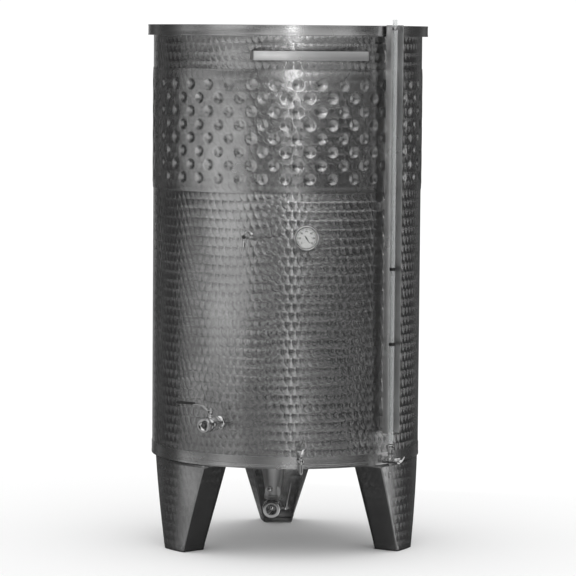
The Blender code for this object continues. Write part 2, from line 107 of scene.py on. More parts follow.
class Shader:
    """Adds nodes to a tree by short calls."""

    def __init__(self, tree):
        self.tree = tree

    def add(self, kind, **settings):
        node = self.tree.nodes.new(kind)
        for name, value in settings.items():
            setattr(node, name, value)
        return node

    def feed(self, socket, value):
        if isinstance(value, bpy.types.NodeSocket):
            self.tree.links.new(value, socket)
        elif value is not None:
            socket.default_value = value

    def math(self, operation, first, second=None, third=None):
        node = self.add("ShaderNodeMath", operation=operation)
        for socket, value in zip(node.inputs, (first, second, third)):
            self.feed(socket, value)
        return node.outputs[0]

    def vector(self, operation, first, second=None, scale=None):
        node = self.add("ShaderNodeVectorMath", operation=operation)
        self.feed(node.inputs[0], first)
        self.feed(node.inputs[1], second)
        if scale is not None:
            self.feed(node.inputs["Scale"], scale)
        return node.outputs["Value"] if operation in ("LENGTH", "DOT_PRODUCT") else node.outputs[0]

    def parts(self, vector):
        node = self.add("ShaderNodeSeparateXYZ")
        self.feed(node.inputs[0], vector)
        return node.outputs

    def join(self, x, y, z):
        node = self.add("ShaderNodeCombineXYZ")
        for socket, value in zip(node.inputs, (x, y, z)):
            self.feed(socket, value)
        return node.outputs[0]

    def ramp(self, value, low, high, to_low=0.0, to_high=1.0, smooth=True):
        node = self.add("ShaderNodeMapRange")
        if smooth:
            node.interpolation_type = "SMOOTHSTEP"
        for socket, given in zip(node.inputs, (value, low, high, to_low, to_high)):
            self.feed(socket, given)
        return node.outputs[0]

    def mix(self, share, first, second):
        node = self.add("ShaderNodeMix", data_type="FLOAT")
        self.feed(node.inputs[0], share)
        self.feed(node.inputs[2], first)
        self.feed(node.inputs[3], second)
        return node.outputs[0]

    def mix_vector(self, share, first, second):
        node = self.add("ShaderNodeMix", data_type="VECTOR")
        self.feed(node.inputs[0], share)
        self.feed(node.inputs[4], first)
        self.feed(node.inputs[5], second)
        return node.outputs[1]

    def mix_colour(self, share, first, second):
        node = self.add("ShaderNodeMix", data_type="RGBA")
        self.feed(node.inputs[0], share)
        self.feed(node.inputs[6], first)
        self.feed(node.inputs[7], second)
        return node.outputs[2]

    def noise(self, vector, scale, detail=2.0, dimensions="3D", w=None):
        node = self.add("ShaderNodeTexNoise", noise_dimensions=dimensions)
        if dimensions != "1D":
            self.feed(node.inputs["Vector"], vector)
        if w is not None:
            self.feed(node.inputs["W"], w)
        if scale is not None:
            self.feed(node.inputs["Scale"], scale)
        self.feed(node.inputs["Detail"], detail)
        return node.outputs["Fac"]


def shader_group(name, inputs, outputs):
    """An empty node group with these sockets, each (name, kind, default)."""
    tree = bpy.data.node_groups.new(name, "ShaderNodeTree")
    for socket_name, kind, default in inputs:
        socket = tree.interface.new_socket(name=socket_name, in_out="INPUT", socket_type=kind)
        if default is not None:
            socket.default_value = default
    for socket_name, kind in outputs:
        tree.interface.new_socket(name=socket_name, in_out="OUTPUT", socket_type=kind)
    shader = Shader(tree)
    given = shader.add("NodeGroupInput").outputs
    result = shader.add("NodeGroupOutput").inputs
    return tree, shader, given, result


def marbled_swirl_group():
    """Round spots of circular scratches, laid over one another in staggered rows on the unrolled sheet.

    A spot hides the one on its left and the row below it, so what shows of each is its lower left part.
    Its scratches tilt the normal along the spot's own radius, finely and unevenly.
    """
    tree, s, given, result = shader_group(
        "marbled_swirl",
        [
            ("Object", "NodeSocketVector", None),
            ("Normal", "NodeSocketVector", None),
            ("Scratch", "NodeSocketFloat", 0.5),
            ("Dish", "NodeSocketFloat", 0.0),
        ],
        [("Normal", "NodeSocketVector"), ("Tone", "NodeSocketFloat"), ("Rim", "NodeSocketFloat")],
    )
    x, y, z = s.parts(s.vector("SUBTRACT", given["Object"], tuple(AXIS)))[:3]
    azimuth = s.math("ARCTAN2", x, s.math("MULTIPLY", y, -1.0))
    from_axis = s.math("SQRT", s.math("ADD", s.math("MULTIPLY", x, x), s.math("MULTIPLY", y, y)))
    across = s.math("ADD", s.math("MULTIPLY", azimuth, SHELL_RADIUS), from_axis)
    across = s.math("SUBTRACT", across, SHELL_RADIUS + SPOT_FIRST)
    lifted = s.math("DIVIDE", s.math("ADD", z, SPOT_RADIUS - SPOT_START), SPOT_ROW)
    high_row = s.math("FLOOR", lifted)
    above = s.math("SUBTRACT", s.math("MULTIPLY", s.math("SUBTRACT", lifted, high_row), SPOT_ROW), SPOT_RADIUS)

    def spot(rows_down):
        """Place of the point from the centre of the rightmost spot that covers it in this row."""
        row = s.math("SUBTRACT", high_row, float(rows_down))
        up = s.math("ADD", above, rows_down * SPOT_ROW)
        room = s.math("SUBTRACT", SPOT_RADIUS**2, s.math("MULTIPLY", up, up))
        half = s.math("SQRT", s.math("MAXIMUM", room, 0.0))
        shift = s.math("MULTIPLY", s.math("FLOORED_MODULO", row, 2.0), 0.5)
        column_at = s.math("ADD", s.math("DIVIDE", s.math("ADD", across, half), SPOT_PITCH), shift)
        column = s.math("FLOOR", column_at)
        right = s.math("SUBTRACT", s.math("MULTIPLY", s.math("SUBTRACT", column_at, column), SPOT_PITCH), half)
        own = s.math("ADD", s.math("MULTIPLY", row, 17.31), s.math("MULTIPLY", column, 3.717))
        covered = s.math("LESS_THAN", s.math("ABSOLUTE", right), half)
        return s.join(right, up, own), covered

    upper, covered = spot(0)
    lower = spot(1)[0]
    right, up, own = s.parts(s.mix_vector(covered, lower, upper))[:3]
    flat = s.join(right, up, 0.0)
    radius = s.vector("LENGTH", flat)
    share = s.math("DIVIDE", radius, SPOT_RADIUS)
    out_x, out_z = s.parts(s.vector("NORMALIZE", flat))[:2]
    scratches = s.noise(None, 1.0, 1.0, "1D", s.math("ADD", s.math("MULTIPLY", radius, 1500.0), own))
    scratch_tilt = s.math("MULTIPLY", s.math("SUBTRACT", scratches, 0.5), s.math("MULTIPLY", given["Scratch"], 2.0))
    tilt = s.math("ADD", scratch_tilt, s.math("MULTIPLY", share, given["Dish"]))
    sideways = s.vector("NORMALIZE", s.vector("CROSS_PRODUCT", (0.0, 0.0, 1.0), given["Normal"]))
    upright = s.vector("CROSS_PRODUCT", given["Normal"], sideways)
    lean = s.vector(
        "ADD",
        s.vector("SCALE", sideways, scale=s.math("MULTIPLY", out_x, tilt)),
        s.vector("SCALE", upright, scale=s.math("MULTIPLY", out_z, tilt)),
    )
    s.feed(result["Normal"], s.vector("NORMALIZE", s.vector("ADD", given["Normal"], lean)))
    s.feed(result["Tone"], s.noise(None, 1.0, 0.0, "1D", s.math("MULTIPLY", own, 5.3)))
    # Painted shade: a mask for a thin ring at each spot's edge, which the steel paints darker as shade
    s.feed(result["Rim"], s.ramp(share, 0.90, 1.0))
    return tree


def brushed_group():
    """Fine straight scratches round the tank, with slow blotches from handling."""
    tree, s, given, result = shader_group(
        "brushed_sheet",
        [
            ("Object", "NodeSocketVector", None),
            ("Stretch", "NodeSocketVector", (40.0, 40.0, 1500.0)),
            ("Depth", "NodeSocketFloat", 0.1),
        ],
        [("Height", "NodeSocketFloat"), ("Blotch", "NodeSocketFloat")],
    )
    stretched = s.vector("MULTIPLY", given["Object"], given["Stretch"])
    lines = s.noise(stretched, 1.0, 2.0)
    s.feed(result["Height"], s.math("MULTIPLY", lines, given["Depth"]))
    s.feed(result["Blotch"], s.noise(given["Object"], 6.0, 3.0))
    return tree


def straight_grain_group():
    """Straight scratches, which spread a reflection across themselves and leave it sharp along them."""
    tree, s, given, result = shader_group(
        "straight_grain",
        [
            ("Object", "NodeSocketVector", None),
            ("Normal", "NodeSocketVector", None),
            ("Across", "NodeSocketVector", (0.0, 0.0, 1.0)),
            ("Scratch", "NodeSocketFloat", 0.3),
        ],
        [("Normal", "NodeSocketVector")],
    )
    along = s.vector("DOT_PRODUCT", given["Object"], given["Across"])
    drift = s.math("MULTIPLY", s.noise(given["Object"], 5.0, 1.0), 3.0)
    lines = s.noise(None, 1.0, 2.0, "1D", s.math("ADD", s.math("MULTIPLY", along, 2500.0), drift))
    tilt = s.math("MULTIPLY", s.math("SUBTRACT", lines, 0.5), s.math("MULTIPLY", given["Scratch"], 2.0))
    lean = s.vector("SCALE", given["Across"], scale=tilt)
    s.feed(result["Normal"], s.vector("NORMALIZE", s.vector("ADD", given["Normal"], lean)))
    return tree


marbled_swirl = marbled_swirl_group()
straight_grain = straight_grain_group()
brushed_sheet = brushed_group()


def steel(name, tone, roughness, swirl=None, grain=None, stretch=(40.0, 40.0, 1500.0), brushing=0.15):
    """Stainless steel: swirl is (scratch, dish) for a marbled sheet, grain is (across, scratch) for a brushed one."""
    material = bpy.data.materials.new(name)
    material.use_nodes = True
    s = Shader(material.node_tree)
    surface = material.node_tree.nodes["Principled BSDF"]
    surface.inputs["Metallic"].default_value = 1.0
    place = s.add("ShaderNodeTexCoord").outputs["Object"]
    brushed = s.add("ShaderNodeGroup", node_tree=brushed_sheet)
    s.feed(brushed.inputs["Object"], place)
    brushed.inputs["Stretch"].default_value = stretch
    brushed.inputs["Depth"].default_value = 1.0
    bump = s.add("ShaderNodeBump")
    bump.inputs["Strength"].default_value = brushing
    bump.inputs["Distance"].default_value = 0.0003
    s.feed(bump.inputs["Height"], brushed.outputs["Height"])
    normal = bump.outputs["Normal"]
    dark = tuple(channel * 0.80 for channel in tone)
    shade = s.ramp(brushed.outputs["Blotch"], 0.3, 0.7)
    colour = s.mix_colour(shade, (*dark, 1.0), (*tone, 1.0))
    rough = s.ramp(brushed.outputs["Blotch"], 0.3, 0.7, roughness * 1.15, roughness * 0.9)
    if swirl:
        scratch, dish = swirl
        spots = s.add("ShaderNodeGroup", node_tree=marbled_swirl)
        s.feed(spots.inputs["Object"], place)
        s.feed(spots.inputs["Normal"], normal)
        spots.inputs["Scratch"].default_value = scratch
        spots.inputs["Dish"].default_value = dish
        normal = spots.outputs["Normal"]
        # Painted shade: each marbled spot's edge is painted darker, for the shade at its rim
        painted_rim_shade_tone = tuple(channel * 0.72 for channel in tone)
        edge = s.math("MULTIPLY", spots.outputs["Rim"], 0.30)
        colour = s.mix_colour(edge, colour, (*painted_rim_shade_tone, 1.0))
    if grain:
        across, scratch = grain
        straight = s.add("ShaderNodeGroup", node_tree=straight_grain)
        s.feed(straight.inputs["Object"], place)
        s.feed(straight.inputs["Normal"], normal)
        straight.inputs["Across"].default_value = across
        straight.inputs["Scratch"].default_value = scratch
        normal = straight.outputs["Normal"]
    s.feed(surface.inputs["Base Color"], colour)
    s.feed(surface.inputs["Roughness"], rough)
    s.feed(surface.inputs["Normal"], normal)
    return material


def plain(name, tone, roughness, metallic=0.0, grain=0.1):
    """Moulded plastic or print, with a fine grain."""
    material = bpy.data.materials.new(name)
    material.use_nodes = True
    s = Shader(material.node_tree)
    surface = material.node_tree.nodes["Principled BSDF"]
    surface.inputs["Metallic"].default_value = metallic
    place = s.add("ShaderNodeTexCoord").outputs["Object"]
    grains = s.noise(place, 900.0, 2.0)
    bump = s.add("ShaderNodeBump")
    bump.inputs["Strength"].default_value = grain
    bump.inputs["Distance"].default_value = 0.0003
    s.feed(bump.inputs["Height"], grains)
    s.feed(surface.inputs["Normal"], bump.outputs["Normal"])
    wear = s.ramp(s.noise(place, 25.0, 3.0), 0.35, 0.7)
    s.feed(surface.inputs["Base Color"], s.mix_colour(wear, (*tone, 1.0), (*(c * 0.85 for c in tone), 1.0)))
    s.feed(surface.inputs["Roughness"], s.ramp(grains, 0.2, 0.8, roughness * 0.9, roughness * 1.1))
    return material


def clear_sheet(name, alpha, edge_alpha):
    """Thin clear plastic: it shows its gloss, and more of itself where it is seen edge on."""
    material = bpy.data.materials.new(name)
    material.use_nodes = True
    s = Shader(material.node_tree)
    surface = material.node_tree.nodes["Principled BSDF"]
    facing_away = s.add("ShaderNodeLayerWeight").outputs["Facing"]
    s.feed(surface.inputs["Alpha"], s.ramp(facing_away, 0.35, 0.95, alpha, edge_alpha))
    place = s.add("ShaderNodeTexCoord").outputs["Object"]
    haze = s.noise(place, 120.0, 2.0)
    s.feed(surface.inputs["Base Color"], s.mix_colour(haze, (0.70, 0.72, 0.72, 1.0), (0.80, 0.82, 0.82, 1.0)))
    s.feed(surface.inputs["Roughness"], s.ramp(haze, 0.2, 0.8, 0.04, 0.10))
    return material


STEEL_TONE = (0.56, 0.56, 0.56)
ROUND_THE_TANK = (0.0, 0.0, 1.0)
UP_THE_TANK = (1.0, 0.0, 0.0)
marbled = steel("marbled_sheet", STEEL_TONE, 0.18, swirl=(0.95, 0.165))
faint_marbled = steel("faint_marbled_sheet", STEEL_TONE, 0.24, swirl=(0.45, 0.03))
jacket_sheet = steel("jacket_sheet", STEEL_TONE, 0.24, swirl=(0.60, 0.05))
band_steel = steel("brushed_band", (0.68, 0.68, 0.68), 0.25, grain=(ROUND_THE_TANK, 0.9))
bar_steel = steel("brushed_bar", (0.66, 0.66, 0.66), 0.30, grain=(ROUND_THE_TANK, 0.7))
channel_steel = steel("brushed_channel", (0.74, 0.74, 0.74), 0.30, grain=(UP_THE_TANK, 0.5), stretch=(900.0, 900.0, 30.0))
# Painted light: the cone and bend get a lighter copy of the brushed steel, standing in for light they catch under the
# tank
cone_steel_painted_light = steel("brushed_cone_painted_light", (0.80, 0.80, 0.80), 0.34, grain=(UP_THE_TANK, 0.8), stretch=(900.0, 900.0, 30.0))
cast_steel = steel("polished_fitting", (0.80, 0.80, 0.80), 0.09, stretch=(300.0, 300.0, 300.0), brushing=0.04)
bezel_steel = steel("polished_bezel", (0.92, 0.92, 0.92), 0.30, stretch=(300.0, 300.0, 300.0), brushing=0.04)
white_print = plain("dial_print", (0.52, 0.52, 0.51), 0.45)
black_print = plain("dial_ink", (0.02, 0.02, 0.02), 0.6)
black_plastic = plain("black_sleeve", (0.02, 0.02, 0.02), 0.45)
clear_tube = clear_sheet("clear_tube", 0.22, 0.75)
clear_cover = clear_sheet("clear_cover", 0.08, 0.20)


def facing(azimuth, radius=0.0, height=0.0):
    """A frame on the tank at this azimuth: local +X runs to the right, +Y up and +Z outwards."""
    turn = Matrix.Rotation(radians(azimuth), 4, "Z")
    return turn @ Matrix.Translation((0.0, -radius, height)) @ Matrix.Rotation(radians(90.0), 4, "X")


def upright(azimuth, radius=0.0, height=0.0):
    """A frame on the tank at this azimuth: local +X runs outwards, +Y to the right and +Z up."""
    return Matrix.Rotation(radians(azimuth - 90.0), 4, "Z") @ Matrix.Translation((radius, 0.0, height))


DOWNWARDS = Matrix.Rotation(pi, 4, "X")


def added(work, made, place=None):
    """Adds a closed shape to the piece, in its place and turned to face outwards."""
    bmesh.ops.remove_doubles(made, verts=made.verts, dist=1e-6)
    bmesh.ops.recalc_face_normals(made, faces=made.faces)
    mesh = bpy.data.meshes.new("shape")
    made.to_mesh(mesh)
    made.free()
    if place is not None:
        mesh.transform(place)
    work.from_mesh(mesh)
    bpy.data.meshes.remove(mesh)


def turned(work, outline, place=None, steps=48):
    """Spins an outline of (radius, height) about local Z. It is closed, or starts and ends on the axis."""
    made = bmesh.new()
    corners = [made.verts.new((radius, 0.0, height)) for radius, height in outline]
    for corner, following in zip(corners, corners[1:]):
        made.edges.new((corner, following))
    if outline[0][0] > 0.0:
        made.edges.new((corners[-1], corners[0]))
    bmesh.ops.spin(
        made,
        geom=made.edges[:],
        cent=(0, 0, 0),
        axis=(0, 0, 1),
        dvec=(0, 0, 0),
        angle=2 * pi,
        steps=steps,
        use_merge=True,
    )
    added(work, made, place)


def eased(made, width, segments=2, sharper=30.0):
    """Rounds off the sharp edges."""
    bmesh.ops.recalc_face_normals(made, faces=made.faces)
    sharp = [edge for edge in made.edges if edge.is_manifold and edge.calc_face_angle() > radians(sharper)]
    bmesh.ops.bevel(
        made,
        geom=sharp,
        offset=width,
        offset_type="OFFSET",
        segments=segments,
        profile=0.5,
        affect="EDGES",
        clamp_overlap=True,
        material=-1,
    )


def prism(work, outline, low, high, place=None, ease=0.0):
    """The outline, in local X and Y, extruded along local Z."""
    made = bmesh.new()
    face = made.faces.new([made.verts.new((x, y, low)) for x, y in outline])
    grown = bmesh.ops.extrude_face_region(made, geom=[face])["geom"]
    ends = [item for item in grown if isinstance(item, bmesh.types.BMVert)]
    bmesh.ops.translate(made, verts=ends, vec=(0.0, 0.0, high - low))
    if ease:
        eased(made, ease)
    added(work, made, place)


def hexagon(work, across_flats, low, high, place=None, ease=0.0007):
    corner = across_flats / sqrt(3.0)
    outline = [(corner * cos(pi * i / 3), corner * sin(pi * i / 3)) for i in range(6)]
    prism(work, outline, low, high, place, ease)


def block(work, low, high, place=None, ease=0.0005):
    made = bmesh.new()
    bmesh.ops.create_cube(made, size=1.0)
    low, high = Vector(low), Vector(high)
    size = high - low
    bmesh.ops.scale(made, verts=made.verts, vec=size)
    bmesh.ops.translate(made, verts=made.verts, vec=(low + high) / 2)
    eased(made, ease)
    added(work, made, place)


def rod(work, radius, low, high, place=None, ease=0.0006, steps=32):
    outline = [
        (0.0, low),
        (radius - ease, low),
        (radius, low + ease),
        (radius, high - ease),
        (radius - ease, high),
        (0.0, high),
    ]
    turned(work, outline, place, steps)


def filleted(corners, steps=4):
    """An outline of (x, y, radius) corners, each rounded to its radius."""
    outline = []
    for i, (x, y, radius) in enumerate(corners):
        corner = Vector((x, y))
        if radius == 0.0:
            outline.append((x, y))
            continue
        back = (Vector(corners[i - 1][:2]) - corner).normalized()
        ahead = (Vector(corners[(i + 1) % len(corners)][:2]) - corner).normalized()
        half = back.angle(ahead) / 2
        middle = (back + ahead).normalized()
        centre = corner + middle * (radius / sin(half))
        sideways = (ahead - back).normalized()
        reach = pi / 2 - half
        for k in range(steps + 1):
            turn = reach * (2 * k / steps - 1)
            outline.append(tuple(centre - middle * (radius * cos(turn)) + sideways * (radius * sin(turn))))
    return outline


def finished(work, name, material, body="tank", instead_of=(), smooth=35.0):
    """Turns a bmesh into a piece that rides on a body, in the place of these CAD nodes."""
    bmesh.ops.translate(work, verts=work.verts, vec=AXIS)
    mesh = bpy.data.meshes.new(name)
    work.to_mesh(mesh)
    work.free()
    mesh.materials.append(material)
    for face in mesh.polygons:
        face.use_smooth = True
    mesh.set_sharp_from_angle(angle=radians(smooth))
    piece = bpy.data.objects.new(name, mesh)
    bpy.context.scene.collection.objects.link(piece)
    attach(piece, body)
    if instead_of:
        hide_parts(*instead_of)
    return piece


def build_shell():
    """One rolled sheet, drawn in behind the jacket, and the weld up its back."""
    drawn_in = SHELL_RADIUS - JACKET_SINK
    outline = [
        (SHELL_RADIUS, shell_low),
        (SHELL_RADIUS, jacket_low + 0.010),
        (drawn_in, jacket_low + 0.022),
        (drawn_in, jacket_high - 0.022),
        (SHELL_RADIUS, jacket_high - 0.010),
        (SHELL_RADIUS, rim_top),
    ]
    inside = [(radius - WALL, height) for radius, height in reversed(outline)]
    work = bmesh.new()
    turned(work, outline + inside, steps=240)
    walls = [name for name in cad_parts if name.startswith("shell_wall")]
    finished(work, "shell_sheet", marbled, instead_of=walls)
    work = bmesh.new()
    bead = filleted([(-0.0003, -0.0025, 0.0), (0.0005, -0.0016, 0.0008), (0.0005, 0.0016, 0.0008), (-0.0003, 0.0025, 0.0)])
    for low, high in ((base_high + 0.0004, jacket_low - 0.0004), (jacket_high + 0.0004, rim_low - 0.0004)):
        prism(work, bead, low, high, upright(180.0, SHELL_RADIUS))
    finished(work, "back_weld", bar_steel)


def build_rim():
    """The hollow hoop round the top, with a bead along its lower edge."""
    inner = SHELL_RADIUS + FIT
    face = RIM_RADIUS - 0.0008
    bead = 0.0062
    outline = [
        (inner, rim_low),
        (RIM_RADIUS - 0.0015, rim_low),
        (RIM_RADIUS - 0.0004, rim_low + 0.0005),
        (RIM_RADIUS, rim_low + 0.0016),
        (RIM_RADIUS, rim_low + bead - 0.0012),
        (face, rim_low + bead),
        (face, rim_top - 0.0050),
        (RIM_RADIUS, rim_top - 0.0036),
        (RIM_RADIUS, rim_top - 0.0018),
        (RIM_RADIUS - 0.0006, rim_top - 0.0005),
        (RIM_RADIUS - 0.0020, rim_top),
        (inner, rim_top),
        (inner, rim_top - WALL),
        (face - WALL, rim_top - WALL),
        (face - WALL, rim_low + WALL),
        (inner, rim_low + WALL),
    ]
    work = bmesh.new()
    turned(work, outline, steps=240)
    finished(work, "rim_hoop", band_steel, instead_of=["rim_band"])


def build_base_band():
    """The band round the foot of the shell: a lip below, and a rolled groove."""
    inner = SHELL_RADIUS + FIT
    outer = inner + 0.0016
    face = outer - 0.0005
    outline = [
        (inner, base_low),
        (outer, base_low),
        (outer, base_low + 0.0070),
        (face, base_low + 0.0080),
        (face, base_low + 0.0135),
        (face - 0.0006, base_low + 0.0143),
        (face - 0.0006, base_low + 0.0157),
        (face, base_low + 0.0165),
        (face, base_high - 0.0030),
        (face + 0.0003, base_high - 0.0018),
        (face - 0.0002, base_high - 0.0004),
        (face - 0.0008, base_high),
        (inner, base_high),
    ]
    work = bmesh.new()
    turned(work, outline, steps=240)
    finished(work, "base_hoop", band_steel, instead_of=["base_band"])


def jacket_radius(azimuth, height):
    """The outside of the jacket: a welded margin, a pillow, and round dimples pressed in where it is welded."""
    seat = SHELL_RADIUS + FIT + JACKET_SKIN
    above, below = jacket_high - height, height - jacket_low
    low_margin = min(max((below - 0.012) / 0.010, 0.0), 1.0)
    high_margin = min(max((above - 0.004) / 0.022, 0.0), 1.0)
    pillow = JACKET_SWELL * min(low_margin, high_margin)
    pitch = 2 * pi / DIMPLE_COUNT
    deepest = 0.0
    nearest = round((DIMPLE_TOP_ROW - height) / DIMPLE_ROW_PITCH)
    for row in range(max(nearest - 1, 0), min(nearest + 2, DIMPLE_ROWS)):
        start = DIMPLE_FIRST + (row % 2) * pitch / 2
        across = (azimuth - start) - pitch * round((azimuth - start) / pitch)
        up = height - (DIMPLE_TOP_ROW - row * DIMPLE_ROW_PITCH)
        share = sqrt((across * SHELL_RADIUS) ** 2 + up**2) / DIMPLE_RADIUS
        if share < 1.0:
            deepest = max(deepest, cos(share * pi / 2) ** 1.15)
    return seat + pillow - DIMPLE_DEPTH * deepest * min(low_margin, high_margin)


def build_jacket():
    """The jacket's sheet, closed round the shell, with its edges turned in against it."""
    columns = DIMPLE_COUNT * 20
    rows = 116
    height = jacket_high - jacket_low
    work = bmesh.new()
    bmesh.ops.create_grid(work, x_segments=columns, y_segments=rows, size=0.5)
    for corner in work.verts:
        azimuth = (corner.co.x + 0.5) * 2 * pi
        z = jacket_low + (corner.co.y + 0.5) * height
        radius = jacket_radius(azimuth, z)
        corner.co = Vector((radius * sin(azimuth), -radius * cos(azimuth), z))
    bmesh.ops.remove_doubles(work, verts=work.verts, dist=1e-6)
    for edge_height in (jacket_low, jacket_high):
        border = [edge for edge in work.edges if edge.is_boundary and abs(edge.verts[0].co.z - edge_height) < 1e-4]
        grown = bmesh.ops.extrude_edge_only(work, edges=border)["geom"]
        for item in grown:
            if isinstance(item, bmesh.types.BMVert):
                shrink = (SHELL_RADIUS + FIT / 2) / sqrt(item.co.x**2 + item.co.y**2)
                item.co.x *= shrink
                item.co.y *= shrink
    bmesh.ops.recalc_face_normals(work, faces=work.faces)
    finished(work, "dimpled_jacket", jacket_sheet, instead_of=["cooling_jacket"], smooth=60.0)


def leg_place(along, height, azimuth, half, inner):
    """A point of the leg's outer side. along runs from -1 to 1: up one flange, over the web and back."""
    side = 1.0 if along > 0.0 else -1.0
    reach = abs(along)
    bend = 0.0035
    web_half = radians(half) - bend / LEG_RADIUS
    if reach <= LEG_WEB_SHARE:
        turn = radians(azimuth) + side * web_half * reach / LEG_WEB_SHARE
        return Vector((LEG_RADIUS * sin(turn), -LEG_RADIUS * cos(turn), height))
    turn = radians(azimuth + side * half)
    outwards = Vector((sin(turn), -cos(turn), 0.0))
    sideways = Vector((cos(turn), sin(turn), 0.0)) * side
    if reach <= LEG_BEND_SHARE:
        curl = pi / 2 * (reach - LEG_WEB_SHARE) / (LEG_BEND_SHARE - LEG_WEB_SHARE)
        place = outwards * (LEG_RADIUS - bend + bend * cos(curl)) - sideways * (bend - bend * sin(curl))
    else:
        share = (reach - LEG_BEND_SHARE) / (1.0 - LEG_BEND_SHARE)
        place = outwards * (LEG_RADIUS - bend + (inner - LEG_RADIUS + bend) * share)
    place.z = height
    return place


def build_leg(name, azimuth):
    """A folded sheet with a pressed band round its foot, which stops short of the folds, and its foot plate."""
    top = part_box(name)[1].z
    heights = [0.0, 0.006, 0.012, 0.0200, 0.0208, 0.0212]
    heights += [0.0212 + (top - 0.0212) * (i + 1) / 18 for i in range(18)]
    columns = 60
    work = bmesh.new()
    bmesh.ops.create_grid(work, x_segments=columns, y_segments=len(heights) - 1, size=0.5)
    for corner in work.verts:
        along = corner.co.x * 2
        height = heights[round((corner.co.y + 0.5) * (len(heights) - 1))]
        share = height / top
        half = LEG_HALF_LOW + (LEG_HALF_HIGH - LEG_HALF_LOW) * share
        inner = LEG_INNER_LOW + (LEG_INNER_HIGH - LEG_INNER_LOW) * share
        corner.co = leg_place(along, height, azimuth, half, inner)
        pressed = height < 0.0205 and not LEG_WEB_SHARE - 0.05 < abs(along) < LEG_BEND_SHARE + 0.05
        if pressed and abs(along) < LEG_WEB_SHARE:
            corner.co += Vector((sin(radians(azimuth)), -cos(radians(azimuth)), 0.0)) * FOOT_BAND_DEPTH
        elif pressed:
            turn = radians(azimuth + (half if along > 0.0 else -half))
            corner.co += Vector((cos(turn), sin(turn), 0.0)) * (FOOT_BAND_DEPTH if along > 0.0 else -FOOT_BAND_DEPTH)
    work.normal_update()
    middle = min(work.faces, key=lambda face: (face.calc_center_median() - leg_place(0.0, 0.2, azimuth, 15, 0.4)).length)
    if middle.normal.dot(Vector((sin(radians(azimuth)), -cos(radians(azimuth)), 0.0))) < 0.0:
        bmesh.ops.reverse_faces(work, faces=work.faces)
    sheet = finished(work, f"{name}_sheet", faint_marbled, instead_of=[name])
    thickness = sheet.modifiers.new("thickness", "SOLIDIFY")
    thickness.thickness = LEG_THICK
    thickness.offset = -1.0
    thickness.use_even_offset = True
    work = bmesh.new()
    half = LEG_HALF_LOW - 0.45
    turns = [half * (i / 4 - 1.0) for i in range(9)]
    outside = LEG_RADIUS - LEG_THICK - FIT
    outline = [(outside * cos(radians(turn)), outside * sin(radians(turn))) for turn in turns]
    outline += [(FOOT_INNER * cos(radians(turn)), FOOT_INNER * sin(radians(turn))) for turn in reversed(turns)]
    prism(work, outline, 0.0, LEG_THICK, upright(azimuth), 0.0005)
    finished(work, f"{name}_foot", bar_steel)


def build_rail():
    """The flat bar that a ladder hooks on, bent back to the shell at both ends."""
    low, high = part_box("ladder_rail")[0].z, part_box("ladder_rail")[1].z
    half, front, thick = 0.2015, 0.4935, 0.004
    inside = half - thick
    start = sqrt(SHELL_RADIUS**2 - inside**2) + 0.0008
    bend = 0.005
    corners = [
        (start, -half, 0.0),
        (front, -half, bend),
        (front, half, bend),
        (start, half, 0.0),
        (start, inside, 0.0),
        (front - thick, inside, bend - thick + 0.001),
        (front - thick, -inside, bend - thick + 0.001),
        (start, -inside, 0.0),
    ]
    work = bmesh.new()
    prism(work, filleted(corners), low, high, upright(9.2), 0.0007)
    finished(work, "hook_rail", bar_steel, instead_of=["ladder_rail"])


def build_thermometer():
    azimuth, height, face = 7.6, 1.118, 0.5195
    place = facing(azimuth, 0.0, height)
    work = bmesh.new()
    stem = [(0.0, SHELL_RADIUS + FIT), (0.013, SHELL_RADIUS + FIT), (0.013, 0.4800), (0.0115, 0.4815)]
    stem += [(0.0100, 0.4835), (0.0100, 0.4927), (0.0, 0.4927)]
    turned(work, stem, place)
    hexagon(work, 0.019, 0.4850, 0.4912, place)
    finished(work, "thermometer_stem", cast_steel, instead_of=["thermometer_socket"])
    work = bmesh.new()
    case = [
        (0.0, 0.4930),
        (0.0210, 0.4930),
        (0.0230, 0.4945),
        (0.0355, 0.4950),
        (0.0385, 0.4962),
        (0.0395, 0.4990),
        (0.0395, 0.5085),
        (0.0412, 0.5094),
        (0.0420, 0.5108),
        (0.0420, 0.5168),
        (0.0415, 0.5186),
        (0.0403, 0.5195),
        (0.0392, 0.5194),
        (0.0380, 0.5184),
        (0.0372, 0.5168),
        (0.0366, 0.5145),
        (0.0, 0.5145),
    ]
    turned(work, case, place, 96)
    finished(work, "thermometer_housing", bezel_steel, instead_of=["thermometer_case"])
    work = bmesh.new()
    turned(work, [(0.0, 0.5148), (0.0352, 0.5148), (0.0352, 0.5158), (0.0348, 0.5160), (0.0, 0.5160)], place, 96)
    finished(work, "thermometer_face", white_print, instead_of=["thermometer_dial"])
    work = bmesh.new()
    turned(work, [(0.0353, 0.5148), (0.0365, 0.5148), (0.0364, 0.5162), (0.0354, 0.5162)], place, 96)
    finished(work, "thermometer_gasket", black_plastic)
    build_dial_marks(azimuth, height)
    work = bmesh.new()
    turned(work, [(0.0, 0.5176), (0.0370, 0.5176), (0.0372, 0.5180), (0.0370, 0.5184), (0.0, 0.5184)], place, 96)
    finished(work, "thermometer_glass", clear_cover)


